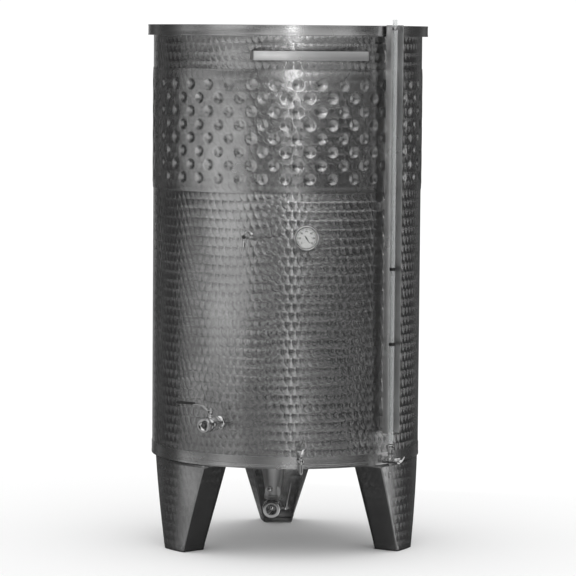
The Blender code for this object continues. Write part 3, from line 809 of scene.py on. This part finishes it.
def build_dial_marks(azimuth, height):
    """Ticks and plain numbers round the dial, and its pointer."""
    place = facing(azimuth, 0.0, height)
    low, high = 0.5160, 0.51612
    work = bmesh.new()
    for i in range(DIAL_TICKS + 1):
        turn = radians(DIAL_FIRST - DIAL_SWEEP * i / DIAL_TICKS)
        long_tick = i % 5 == 0
        inner = 0.0275 if long_tick else 0.0298
        half = 0.0007 if long_tick else 0.00035
        tick = place @ Matrix.Rotation(turn, 4, "Z")
        prism(work, [(inner, -half), (0.0325, -half), (0.0325, half), (inner, half)], low, high, tick)
    rail = [(0.0322, low), (0.0328, low), (0.0328, high), (0.0322, high)]
    turned(work, rail, place, 96)
    finished(work, "dial_ticks", black_print)
    work = bmesh.new()
    for i in range(7):
        turn = radians(DIAL_FIRST - DIAL_SWEEP * i / 6)
        curve = bpy.data.curves.new("number", "FONT")
        curve.body = str(20 * i)
        curve.size = 0.0092
        curve.offset = 0.00018
        curve.align_x = "CENTER"
        curve.align_y = "CENTER"
        holder = bpy.data.objects.new("number", curve)
        bpy.context.scene.collection.objects.link(holder)
        graph = bpy.context.evaluated_depsgraph_get()
        flat = bpy.data.meshes.new_from_object(holder.evaluated_get(graph))
        bpy.data.objects.remove(holder)
        made = bmesh.new()
        made.from_mesh(flat)
        bmesh.ops.remove_doubles(made, verts=made.verts, dist=1e-6)
        bmesh.ops.recalc_face_normals(made, faces=made.faces)
        grown = bmesh.ops.extrude_face_region(made, geom=made.faces[:])["geom"]
        lifted = [item for item in grown if isinstance(item, bmesh.types.BMVert)]
        bmesh.ops.translate(made, verts=lifted, vec=(0.0, 0.0, high - low))
        spot = (0.0232 * cos(turn), 0.0232 * sin(turn), low)
        added(work, made, place @ Matrix.Translation(spot))
    finished(work, "dial_numbers", black_print)
    work = bmesh.new()
    tip = place @ Matrix.Rotation(radians(-57.0), 4, "Z")
    pointer = [(-0.0105, -0.0013), (-0.0105, 0.0013), (0.0, 0.0024), (0.0195, 0.0006), (0.0195, -0.0006), (0.0, -0.0024)]
    prism(work, pointer, 0.5164, 0.5167, tip)
    turned(work, [(0.0, 0.5161), (0.0028, 0.5161), (0.0028, 0.5170), (0.0020, 0.5173), (0.0, 0.5173)], place)
    finished(work, "dial_pointer", black_print)


def build_sample_tap():
    azimuth, height = -15.2, 1.1225
    along = facing(azimuth, 0.0, height)
    start = SHELL_RADIUS + FIT
    work = bmesh.new()
    flange = [(0.0, start), (0.013, start), (0.013, 0.4800), (0.012, 0.4815), (0.009, 0.4835), (0.009, 0.4885)]
    turned(work, flange + [(0.0, 0.4885)], along)
    hexagon(work, 0.021, 0.488, 0.500, along)
    barrel = [
        (0.0, 0.4995),
        (0.0072, 0.4995),
        (0.0072, 0.508),
        (0.0092, 0.511),
        (0.0102, 0.516),
        (0.0102, 0.527),
        (0.0092, 0.532),
        (0.0075, 0.534),
        (0.0075, 0.5545),
        (0.0064, 0.556),
        (0.0, 0.556),
    ]
    turned(work, barrel, along)
    rod(work, 0.0060, 0.0, 0.0085, upright(azimuth, 0.522, height))
    spout = [
        (0.0, 0.0),
        (0.0062, 0.0),
        (0.0062, 0.010),
        (0.0052, 0.012),
        (0.0052, 0.027),
        (0.0058, 0.029),
        (0.0058, 0.0345),
        (0.0035, 0.0345),
        (0.0035, 0.008),
        (0.0, 0.008),
    ]
    turned(work, spout, upright(azimuth, 0.5485, height) @ DOWNWARDS)
    finished(work, "sample_tap", cast_steel, instead_of=["sample_tap_body"])
    low = height + 0.0088
    pivot = upright(azimuth, 0.522, low)
    work = bmesh.new()
    turned(work, [(0.0, 0.0), (0.0065, 0.0), (0.0065, 0.0075), (0.0052, 0.0088), (0.0, 0.0092)], pivot)
    swing = pivot @ Matrix.Rotation(radians(186.0), 4, "Z") @ Matrix.Rotation(radians(-16.0), 4, "Y")
    blade = filleted([(-0.006, -0.0055, 0.003), (0.040, -0.0055, 0.005), (0.040, 0.0055, 0.005), (-0.006, 0.0055, 0.003)])
    prism(work, blade, 0.0030, 0.0058, swing, 0.0006)
    finished(work, "sample_handle", cast_steel, "sample_lever", ["sample_tap_lever"])


def build_partial_drain():
    azimuth, height = -28.5, 0.472
    along = facing(azimuth, 0.0, height)
    start = SHELL_RADIUS + FIT
    work = bmesh.new()
    nipple = [(0.0, start), (0.023, start), (0.023, SHELL_RADIUS + 0.0028), (0.0185, SHELL_RADIUS + 0.0046)]
    nipple += [(0.0165, SHELL_RADIUS + 0.0070), (0.0165, 0.4900)]
    for i in range(6):
        foot = 0.4900 + 0.0022 * i
        nipple += [(0.0172, foot + 0.0009), (0.0164, foot + 0.0020)]
    nipple += [(0.0165, 0.5045), (0.0235, 0.5045), (0.0245, 0.5055), (0.0245, 0.5115), (0.0235, 0.5125), (0.0, 0.5125)]
    turned(work, nipple, along, 64)
    finished(work, "drain_nipple", cast_steel, instead_of=["partial_drain_nipple"])
    work = bmesh.new()
    body = [
        (0.0, 0.5128),
        (0.0185, 0.5128),
        (0.0195, 0.5140),
        (0.0232, 0.5180),
        (0.0256, 0.5230),
        (0.0268, 0.5290),
        (0.0270, 0.5350),
        (0.0270, 0.5410),
        (0.0266, 0.5470),
        (0.0252, 0.5530),
        (0.0222, 0.5590),
        (0.0192, 0.5622),
        (0.0185, 0.5635),
        (0.0135, 0.5635),
        (0.0135, 0.5515),
        (0.0110, 0.5545),
        (0.0070, 0.5568),
        (0.0035, 0.5578),
        (0.0, 0.5580),
    ]
    turned(work, body, along, 64)
    hexagon(work, 0.044, 0.5165, 0.5275, along, 0.0012)
    tower = [(0.0, 0.0), (0.0115, 0.0), (0.0115, 0.0295), (0.0100, 0.0315), (0.0100, 0.0385), (0.0, 0.0385)]
    turned(work, tower, upright(azimuth, 0.5375, height))
    finished(work, "ball_valve", cast_steel, instead_of=["partial_drain_valve"])
    work = bmesh.new()
    ring = [
        (0.0135, 0.5638),
        (0.0200, 0.5638),
        (0.0228, 0.5662),
        (0.0250, 0.5692),
        (0.0255, 0.5715),
        (0.0255, 0.5852),
        (0.0250, 0.5862),
        (0.0240, 0.5876),
        (0.0215, 0.5880),
        (0.0165, 0.5868),
        (0.0125, 0.5846),
        (0.0105, 0.5826),
        (0.0098, 0.5800),
        (0.0098, 0.5700),
        (0.0135, 0.5660),
    ]
    turned(work, ring, along, 64)
    finished(work, "valve_mouth", cast_steel, instead_of=["partial_drain_outlet"])
    pivot = upright(azimuth, 0.5375, height + 0.0388)
    side = pivot @ Matrix.Rotation(radians(270.0), 4, "Z") @ Matrix.Rotation(radians(90.0), 4, "X")
    lever = [
        (-0.012, 0.008, 0.0),
        (0.012, 0.008, 0.006),
        (0.0365, 0.0245, 0.008),
        (0.130, 0.0264, 0.0),
        (0.130, 0.0294, 0.0),
        (0.0355, 0.0275, 0.008),
        (0.011, 0.011, 0.006),
        (-0.012, 0.011, 0.0),
    ]
    work = bmesh.new()
    turned(work, [(0.0, 0.0), (0.0065, 0.0), (0.0065, 0.0155), (0.0056, 0.0165), (0.0, 0.0165)], pivot)
    hexagon(work, 0.0165, 0.0, 0.0070, pivot)
    hexagon(work, 0.0130, 0.0112, 0.0150, pivot)
    prism(work, filleted(lever), -0.008, 0.008, side, 0.0007)
    finished(work, "drain_handle_bar", cast_steel, "partial_lever", ["partial_drain_lever"])
    work = bmesh.new()
    slope = pivot @ Matrix.Rotation(radians(270.0), 4, "Z") @ Matrix.Translation((0.0, 0.0, 0.0268))
    slope = slope @ Matrix.Rotation(-0.0197, 4, "Y")
    block(work, (SLEEVE_START, -0.0100, -0.0034), (SLEEVE_END, 0.0100, 0.0040), slope, 0.0026)
    for i in range(6):
        ridge = SLEEVE_START + 0.006 + 0.009 * i
        block(work, (ridge, -0.0105, -0.0037), (ridge + 0.0035, 0.0105, 0.0043), slope, 0.0012)
    finished(work, "handle_sleeve", black_plastic, "partial_lever", ["partial_drain_grip"])


def build_base_tap():
    azimuth, height, reach = 6.0, 0.3525, 0.5385
    along = facing(azimuth, 0.0, height)
    start = SHELL_RADIUS + FIT + 0.0016 + FIT
    work = bmesh.new()
    turned(work, [(0.0, start), (0.0085, start), (0.0085, 0.489), (0.0080, 0.500), (0.0072, reach), (0.0, reach)], along)
    hexagon(work, 0.020, 0.489, 0.499, along)
    heart = [(0.0, -0.0095), (0.0085, -0.0095), (0.0098, -0.0070), (0.0106, -0.002), (0.0106, 0.003)]
    heart += [(0.0098, 0.0075), (0.0082, 0.0098), (0.0082, 0.011), (0.0, 0.011)]
    turned(work, heart, upright(azimuth, reach, height))
    spout = [
        (0.0, 0.004),
        (0.0056, 0.006),
        (0.0056, 0.034),
        (0.0062, 0.037),
        (0.0062, 0.0435),
        (0.0056, 0.0445),
        (0.0038, 0.0445),
        (0.0038, 0.014),
        (0.0, 0.014),
    ]
    turned(work, spout, upright(azimuth, reach, height) @ DOWNWARDS)
    finished(work, "base_tap", cast_steel, instead_of=["base_tap_body"])
    pivot = upright(azimuth, reach, height + 0.0113)
    work = bmesh.new()
    turned(work, [(0.0, 0.0), (0.0065, 0.0), (0.0065, 0.0070), (0.0058, 0.0080), (0.0, 0.0080)], pivot)
    wing = [
        (-0.0045, 0.004, 0.0),
        (0.0045, 0.004, 0.0),
        (0.0155, 0.0275, 0.003),
        (0.012, 0.0325, 0.002),
        (0.0, 0.0305, 0.0),
        (-0.012, 0.0325, 0.002),
        (-0.0155, 0.0275, 0.003),
    ]
    stand = pivot @ Matrix.Rotation(radians(82.0), 4, "Z") @ Matrix.Rotation(radians(90.0), 4, "X")
    prism(work, filleted(wing), -0.0022, 0.0022, stand, 0.0008)
    finished(work, "base_tap_wing", cast_steel, "base_handle", ["base_tap_handle"])


def build_drain():
    """The cone under the bottom, the bend, and the ball valve that faces the front."""
    low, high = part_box("drain_sump")
    centre = Vector(((low.x + high.x) / 2, (low.y + high.y) / 2, 0.0)) - AXIS
    place = Matrix.Translation(centre)
    top, wide = high.z, 0.042
    work = bmesh.new()
    cone = [
        (wide - WALL, top),
        (0.0465, top),
        (0.0465, 0.291),
        (0.0455, 0.290),
        (wide + 0.0006, 0.2895),
        (wide, 0.288),
        (wide, 0.2765),
        (wide - 0.0003, 0.2735),
        (0.0302, 0.2010),
        (0.0300, 0.1985),
        (0.0300, 0.1765),
        (0.0312, 0.1758),
        (0.0320, 0.1748),
        (0.0320, 0.1690),
        (0.0315, 0.1685),
        (0.0280, 0.1685),
        (0.0280, 0.2000),
        (wide - WALL, 0.2750),
    ]
    turned(work, cone, place, 96)
    finished(work, "drain_cone", cone_steel_painted_light, instead_of=["drain_sump"])
    work = bmesh.new()
    front = Matrix.Translation(centre + Vector((-0.012, -0.0265, 0.197))) @ Matrix.Rotation(radians(86.0), 4, "X")
    turned(work, [(0.0, 0.0), (0.0105, 0.0), (0.0105, 0.007), (0.0095, 0.008), (0.0, 0.008)], front)
    hexagon(work, 0.0130, 0.0075, 0.0125, front)
    finished(work, "cone_plug", cast_steel)
    toward = Vector((sin(radians(-4.0)), -cos(radians(-4.0)), 0.0))
    bend_start = centre + Vector((0.0, 0.0, 0.1600))
    bend_radius = 0.0265
    work = bmesh.new()
    rod(work, 0.0280, 0.1590, 0.1680, place, steps=64)
    turned(work, [(0.0, 0.1625), (0.0315, 0.1625), (0.0320, 0.1632), (0.0320, 0.1675), (0.0315, 0.1680), (0.0, 0.1680)], place, 64)
    made = bmesh.new()
    bmesh.ops.create_circle(made, cap_ends=True, segments=48, radius=0.0280)
    bmesh.ops.translate(made, verts=made.verts, vec=bend_start)
    hinge = bend_start + toward * bend_radius
    axis = toward.cross(Vector((0.0, 0.0, -1.0)))
    bmesh.ops.spin(made, geom=made.faces[:], cent=hinge, axis=axis, dvec=(0, 0, 0), angle=radians(90.0), steps=14)
    added(work, made)
    end = hinge - Vector((0.0, 0.0, bend_radius))
    quarter = Matrix((Vector((0.0, 0.0, 1.0)).cross(toward), Vector((0.0, 0.0, 1.0)), toward)).transposed().to_4x4()
    along = Matrix.Translation(end) @ quarter
    rod(work, 0.0280, -0.002, 0.0060, along, steps=64)
    finished(work, "drain_bend", cone_steel_painted_light, instead_of=["drain_elbow"])
    along = along @ Matrix.Translation((0.0, 0.0, 0.0063))
    work = bmesh.new()
    body = [
        (0.0, 0.0),
        (0.0275, 0.0),
        (0.0310, 0.0030),
        (0.0332, 0.0075),
        (0.0340, 0.0130),
        (0.0340, 0.0275),
        (0.0332, 0.0330),
        (0.0310, 0.0375),
        (0.0275, 0.0405),
        (0.0175, 0.0405),
        (0.0175, 0.0240),
        (0.0150, 0.0275),
        (0.0110, 0.0308),
        (0.0060, 0.0328),
        (0.0, 0.0335),
    ]
    turned(work, body, along, 64)
    stem_place = along @ Matrix.Translation((0.0, 0.0, 0.0197))
    stem_centre = stem_place.translation.copy()
    sideways = Matrix.Translation(stem_centre) @ Matrix.Rotation(radians(90.0), 4, "Y")
    turned(work, [(0.0, 0.0), (0.0100, 0.0), (0.0100, 0.0400), (0.0088, 0.0435), (0.0, 0.0435)], sideways)
    for turn in (45.0, 135.0, 225.0, 315.0):
        bolt = along @ Matrix.Rotation(radians(turn), 4, "Z") @ Matrix.Translation((0.0305, 0.0, 0.0))
        rod(work, 0.0035, 0.004, 0.0365, bolt, steps=20)
        hexagon(work, 0.0080, 0.0350, 0.0385, bolt, 0.0004)
    finished(work, "bottom_valve", cast_steel, instead_of=["drain_valve"])
    work = bmesh.new()
    ring = [
        (0.0175, 0.0408),
        (0.0270, 0.0408),
        (0.0282, 0.0415),
        (0.0285, 0.0430),
        (0.0285, 0.0485),
        (0.0300, 0.0495),
        (0.0308, 0.0510),
        (0.0308, 0.0565),
        (0.0300, 0.0578),
        (0.0285, 0.0580),
        (0.0200, 0.0580),
        (0.0185, 0.0568),
        (0.0175, 0.0545),
    ]
    turned(work, ring, along, 64)
    finished(work, "bottom_valve_mouth", cast_steel, instead_of=["drain_outlet"])
    hub = stem_centre + Vector((0.0438, 0.0, 0.0))
    out = Matrix.Translation(hub) @ Matrix.Rotation(radians(90.0), 4, "Y")
    work = bmesh.new()
    rod(work, 0.0065, 0.0, 0.014, out)
    hexagon(work, 0.0170, 0.0, 0.0065, out)
    side = Matrix.Translation(hub) @ Matrix.Rotation(radians(90.0), 4, "X")
    bar = [
        (0.0068, -0.012, 0.0),
        (0.0100, -0.012, 0.0),
        (0.0100, 0.014, 0.006),
        (0.0252, 0.0925, 0.0),
        (0.0222, 0.0935, 0.0),
        (0.0068, 0.0145, 0.006),
    ]
    prism(work, filleted(bar), -0.009, 0.009, side, 0.0007)
    finished(work, "bottom_valve_handle", cast_steel, "drain_handle", ["drain_lever"])


def build_gauge():
    azimuth, web, depth, half, thick = 45.0, 0.5060, 0.027, 0.0295, 0.0015
    low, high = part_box("gauge_guard")[0].z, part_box("gauge_guard")[1].z
    place = upright(azimuth)
    bend = 0.0026
    channel = [
        (web, -half, bend),
        (web + depth, -half, 0.0006),
        (web + depth, -half + thick, 0.0006),
        (web + thick, -half + thick, bend - thick),
        (web + thick, half - thick, bend - thick),
        (web + depth, half - thick, 0.0006),
        (web + depth, half, 0.0006),
        (web, half, bend),
    ]
    work = bmesh.new()
    prism(work, filleted(channel, 3), low, high, place)
    finished(work, "gauge_channel", channel_steel, instead_of=["gauge_guard"])
    tube_place = upright(azimuth, 0.5200)
    work = bmesh.new()
    for height in (0.743, 1.004):
        clip = [(0.0084, -0.0050), (0.0108, -0.0050), (0.0112, -0.0042), (0.0112, 0.0042), (0.0108, 0.0050), (0.0084, 0.0050)]
        turned(work, clip, tube_place @ Matrix.Translation((0.0, 0.0, height)))
        block(work, (web + thick, -0.011, height - 0.004), (web + 0.0060, 0.011, height + 0.004), place)
    finished(work, "tube_clips", black_plastic)
    tube_low, tube_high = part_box("gauge_tube")[0].z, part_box("gauge_tube")[1].z
    work = bmesh.new()
    pipe = [(0.0080, tube_low), (0.0080, tube_high - 0.0006), (0.0076, tube_high), (0.0066, tube_high)]
    pipe += [(0.0062, tube_high - 0.0006), (0.0062, tube_low)]
    turned(work, pipe, tube_place, 40)
    finished(work, "sight_tube", clear_tube, instead_of=["gauge_tube"])
    for name in ("gauge_bracket_lower", "gauge_bracket_upper"):
        floor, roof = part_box(name)[0].z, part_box(name)[1].z
        strap = [
            (SHELL_RADIUS + 0.0008, -0.012, 0.0),
            (web - FIT, -0.012, 0.003),
            (web - FIT, 0.012, 0.003),
            (SHELL_RADIUS + 0.0008, 0.012, 0.0),
            (SHELL_RADIUS + 0.0008, 0.010, 0.0),
            (web - FIT - 0.002, 0.010, 0.001),
            (web - FIT - 0.002, -0.010, 0.001),
            (SHELL_RADIUS + 0.0008, -0.010, 0.0),
        ]
        work = bmesh.new()
        prism(work, filleted(strap), floor, roof, place, 0.0004)
        finished(work, f"{name}_strap", bar_steel, instead_of=[name])
    floor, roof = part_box("gauge_clip")[0].z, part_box("gauge_clip")[1].z
    work = bmesh.new()
    block(work, (web + thick + FIT, -0.0275, floor), (0.5115, 0.0275, roof), place, 0.0008)
    collar = [(0.0083, floor), (0.0108, floor), (0.0115, floor + 0.001), (0.0115, roof - 0.001), (0.0108, roof), (0.0083, roof)]
    turned(work, collar, tube_place)
    finished(work, "tube_holder", bar_steel, instead_of=["gauge_clip"])
    work = bmesh.new()
    nut = [(0.0, 0.3680), (0.0112, 0.3680), (0.0115, 0.3684), (0.0115, 0.3762), (0.0132, 0.3768), (0.0140, 0.3780)]
    nut += [(0.0140, 0.3895), (0.0130, 0.3915), (0.0115, 0.3925), (0.0083, 0.3925), (0.0083, 0.3880), (0.0, 0.3880)]
    turned(work, nut, tube_place)
    hexagon(work, 0.0262, 0.3790, 0.3870, tube_place)
    finished(work, "tube_nut", cast_steel, instead_of=["gauge_union_nut"])
    build_gauge_valve(azimuth)


def build_gauge_valve(azimuth):
    height = 0.3385
    along = facing(azimuth, 0.0, height)
    start = SHELL_RADIUS + FIT + 0.0016 + FIT
    tube_place = upright(azimuth, 0.5200)
    work = bmesh.new()
    rod(work, 0.0095, start, 0.505, along)
    hexagon(work, 0.026, 0.487, 0.498, along)
    barrel = [
        (0.0, 0.503),
        (0.0120, 0.503),
        (0.0130, 0.5045),
        (0.0130, 0.5285),
        (0.0122, 0.5300),
        (0.0122, 0.5330),
        (0.0130, 0.5345),
        (0.0130, 0.5500),
        (0.0112, 0.5560),
        (0.0105, 0.5600),
        (0.0, 0.5600),
    ]
    turned(work, barrel, along)
    rod(work, 0.0090, height, 0.3677, tube_place)
    hexagon(work, 0.0200, 0.3560, 0.3640, tube_place)
    leg = [
        (0.0, height),
        (0.0, 0.2850),
        (0.0028, 0.2850),
        (0.0028, 0.2755),
        (0.0054, 0.2755),
        (0.0060, 0.2765),
        (0.0066, 0.2920),
        (0.0058, 0.2950),
        (0.0044, 0.2965),
        (0.0044, 0.3180),
        (0.0062, 0.3200),
        (0.0062, height),
    ]
    turned(work, leg, tube_place)
    finished(work, "gauge_cock", cast_steel, instead_of=["gauge_valve_body"])
    pivot = upright(azimuth, 0.5603, height)
    out = pivot @ Matrix.Rotation(radians(90.0), 4, "Y")
    work = bmesh.new()
    turned(work, [(0.0, 0.0), (0.0060, 0.0), (0.0060, 0.0075), (0.0050, 0.0085), (0.0, 0.0085)], out)
    tilt = pivot @ Matrix.Rotation(radians(90.0), 4, "Y") @ Matrix.Rotation(radians(90.0), 4, "Z")
    wing = [
        (0.0, -0.0045, 0.0),
        (0.010, -0.0045, 0.004),
        (0.0245, 0.010, 0.003),
        (0.0245, 0.0145, 0.001),
        (0.0205, 0.0145, 0.001),
        (0.0085, 0.0045, 0.005),
        (0.0, 0.0045, 0.0),
    ]
    prism(work, filleted(wing), 0.0035, 0.0060, tilt, 0.0006)
    finished(work, "gauge_cock_handle", cast_steel, "gauge_handle", ["gauge_valve_handle"])


build_shell()
build_rim()
build_base_band()
build_jacket()
for leg_name, leg_azimuth in LEG_AZIMUTHS.items():
    build_leg(leg_name, leg_azimuth)
build_rail()
build_thermometer()
build_sample_tap()
build_partial_drain()
build_base_tap()
build_drain()
build_gauge()
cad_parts["tank_bottom"].data.materials.clear()
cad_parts["tank_bottom"].data.materials.append(marbled)
for name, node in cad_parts.items():
    if name != "tank_bottom":
        node.data.materials.clear()
        node.data.materials.append(bar_steel)


def add_camera():
    down, yaw, roll = radians(CAMERA_DOWN), radians(CAMERA_YAW), radians(CAMERA_ROLL)
    forward = Vector((sin(yaw) * cos(down), cos(yaw) * cos(down), -sin(down)))
    right = Vector((cos(yaw), -sin(yaw), 0.0))
    up = right.cross(forward)
    turned_right = right * cos(roll) + up * sin(roll)
    turned_up = up * cos(roll) - right * sin(roll)
    data = bpy.data.cameras.new("camera")
    data.lens = CAMERA_LENS
    data.sensor_width = 36.0
    data.clip_end = 100.0
    camera = bpy.data.objects.new("camera", data)
    place = Matrix((turned_right, turned_up, -forward)).transposed().to_4x4()
    place.translation = Vector(CAMERA_PLACE) + AXIS
    camera.matrix_world = place
    bpy.context.scene.collection.objects.link(camera)
    bpy.context.scene.camera = camera


def add_floor():
    work = bmesh.new()
    bmesh.ops.create_circle(work, cap_ends=True, segments=96, radius=60.0)
    mesh = bpy.data.meshes.new("floor")
    work.to_mesh(mesh)
    work.free()
    floor = bpy.data.objects.new("floor", mesh)
    floor.location.z = -0.0005
    bpy.context.scene.collection.objects.link(floor)
    material = bpy.data.materials.new("studio_floor")
    material.use_nodes = True
    s = Shader(material.node_tree)
    surface = material.node_tree.nodes["Principled BSDF"]
    surface.inputs["Base Color"].default_value = (0.92, 0.92, 0.92, 1.0)
    surface.inputs["Roughness"].default_value = 0.9
    surface.inputs["Specular IOR Level"].default_value = 0.0
    # Painted shadow: rays other than the camera's see a dark disc under the tank, for the shade there, fading to clear
    # further out
    painted_shadow_under_tank = s.add("ShaderNodeBsdfDiffuse")
    painted_shadow_under_tank.inputs["Color"].default_value = (0.12, 0.12, 0.12, 1.0)
    away = s.vector("LENGTH", s.add("ShaderNodeTexCoord").outputs["Object"])
    painted_shadow_fade = s.add("ShaderNodeMixShader")
    s.feed(painted_shadow_fade.inputs[0], s.ramp(away, 0.36, 0.62))
    s.feed(painted_shadow_fade.inputs[1], painted_shadow_under_tank.outputs[0])
    s.feed(painted_shadow_fade.inputs[2], s.add("ShaderNodeBsdfTransparent").outputs[0])
    choose = s.add("ShaderNodeMixShader")
    s.feed(choose.inputs[0], s.add("ShaderNodeLightPath").outputs["Is Camera Ray"])
    s.feed(choose.inputs[1], painted_shadow_fade.outputs[0])
    s.feed(choose.inputs[2], surface.outputs[0])
    output = material.node_tree.nodes["Material Output"]
    s.feed(output.inputs["Surface"], choose.outputs[0])
    mesh.materials.append(material)


# The studio as the steel mirrors it, later pieces over earlier ones. Angles are in degrees: azimuth from the
# front, half width, lowest and highest elevation, and the width of the soft edge. Brightness is last.
ROOM_LEVEL = 0.05
STUDIO = [
    ("ceiling", 0, 180, 34, 90, 24, 0.14),
    ("front_ceiling", 0, 80, 30, 90, 14, 0.70),
    ("right_high_light", 38, 24, 30, 60, 12, 0.70),
    ("front_floor", 25, 42, -60, -16, 10, 0.36),
    ("low_floor_light", 15, 16, -62, -42, 6, 0.80),
    ("left_floor", -48, 20, -52, -14, 10, 0.42),
    ("left_wall", -54, 17, -14, 24, 8, 0.34),
    ("left_side", -88, 14, -20, 12, 8, 0.46),
    ("left_edge_light", -139, 4, -20, 30, 4, 0.20),
    ("right_side", 94, 12, -22, 14, 6, 0.80),
    ("front_wall", -4, 22, -20, -7, 6, 0.42),
    ("left_flag", -17, 13, -3, 20, 6, 0.02),
    ("right_flag", 52, 24, -10, 14, 6, 0.05),
    ("narrow_strip", 5, 3.5, -24, 40, 4, 1.10),
    ("back_left_light", -176, 14, -15, 30, 8, 0.40),
    ("back_right_light", 152, 6, -10, 35, 6, 0.16),
]
PANELS = [
    ("narrow_light", 3.2, 1.2, 0.10, 1.60, 1.82, 4.0),
    ("left_light", -43.0, 1.2, 0.70, 0.75, 1.60, 0.40),
    ("front_high_light", 14.0, 1.2, 1.5, 1.68, 2.20, 0.45),
]
DIFFUSE_LEVEL = 1.25
BACKDROP_LEVEL = 1.05


def add_world():
    world = bpy.data.worlds.new("studio")
    bpy.context.scene.world = world
    world.use_nodes = True
    s = Shader(world.node_tree)
    background = world.node_tree.nodes["Background"]
    background.inputs["Color"].default_value = (1.0, 1.0, 1.0, 1.0)
    x, y, z = s.parts(s.add("ShaderNodeTexCoord").outputs["Generated"])[:3]
    azimuth = s.math("DEGREES", s.math("ARCTAN2", x, s.math("MULTIPLY", y, -1.0)))
    elevation = s.math("DEGREES", s.math("ARCSINE", z))
    level = ROOM_LEVEL
    for name, middle, half, lowest, highest, edge, brightness in STUDIO:
        off = s.math("ABSOLUTE", s.math("WRAP", s.math("SUBTRACT", azimuth, middle), 180.0, -180.0))
        beside = s.ramp(off, half - edge / 2, half + edge / 2, 1.0, 0.0)
        above = s.ramp(elevation, lowest - edge / 2, lowest + edge / 2)
        below = s.ramp(elevation, highest - edge / 2, highest + edge / 2, 1.0, 0.0)
        share = s.math("MULTIPLY", s.math("MULTIPLY", above, below), beside)
        level = s.mix(share, level, brightness)
    path = s.add("ShaderNodeLightPath")
    level = s.mix(path.outputs["Is Diffuse Ray"], level, DIFFUSE_LEVEL)
    s.feed(background.inputs["Strength"], s.mix(path.outputs["Is Camera Ray"], level, BACKDROP_LEVEL))


def add_panel(name, azimuth, distance, width, low, high, brightness):
    """A soft upright light panel, facing the tank's axis."""
    data = bpy.data.lights.new(name, "AREA")
    data.shape = "RECTANGLE"
    data.size = width
    data.size_y = high - low
    data.energy = brightness * pi * width * (high - low)
    light = bpy.data.objects.new(name, data)
    angle = radians(azimuth)
    light.location = AXIS + Vector((distance * sin(angle), -distance * cos(angle), (low + high) / 2))
    light.rotation_euler = (radians(90.0), 0.0, angle)
    light.visible_camera = False
    bpy.context.scene.collection.objects.link(light)


add_camera()
add_floor()
add_world()
for panel in PANELS:
    add_panel(*panel)
bpy.context.scene.view_settings.view_transform = "Standard"
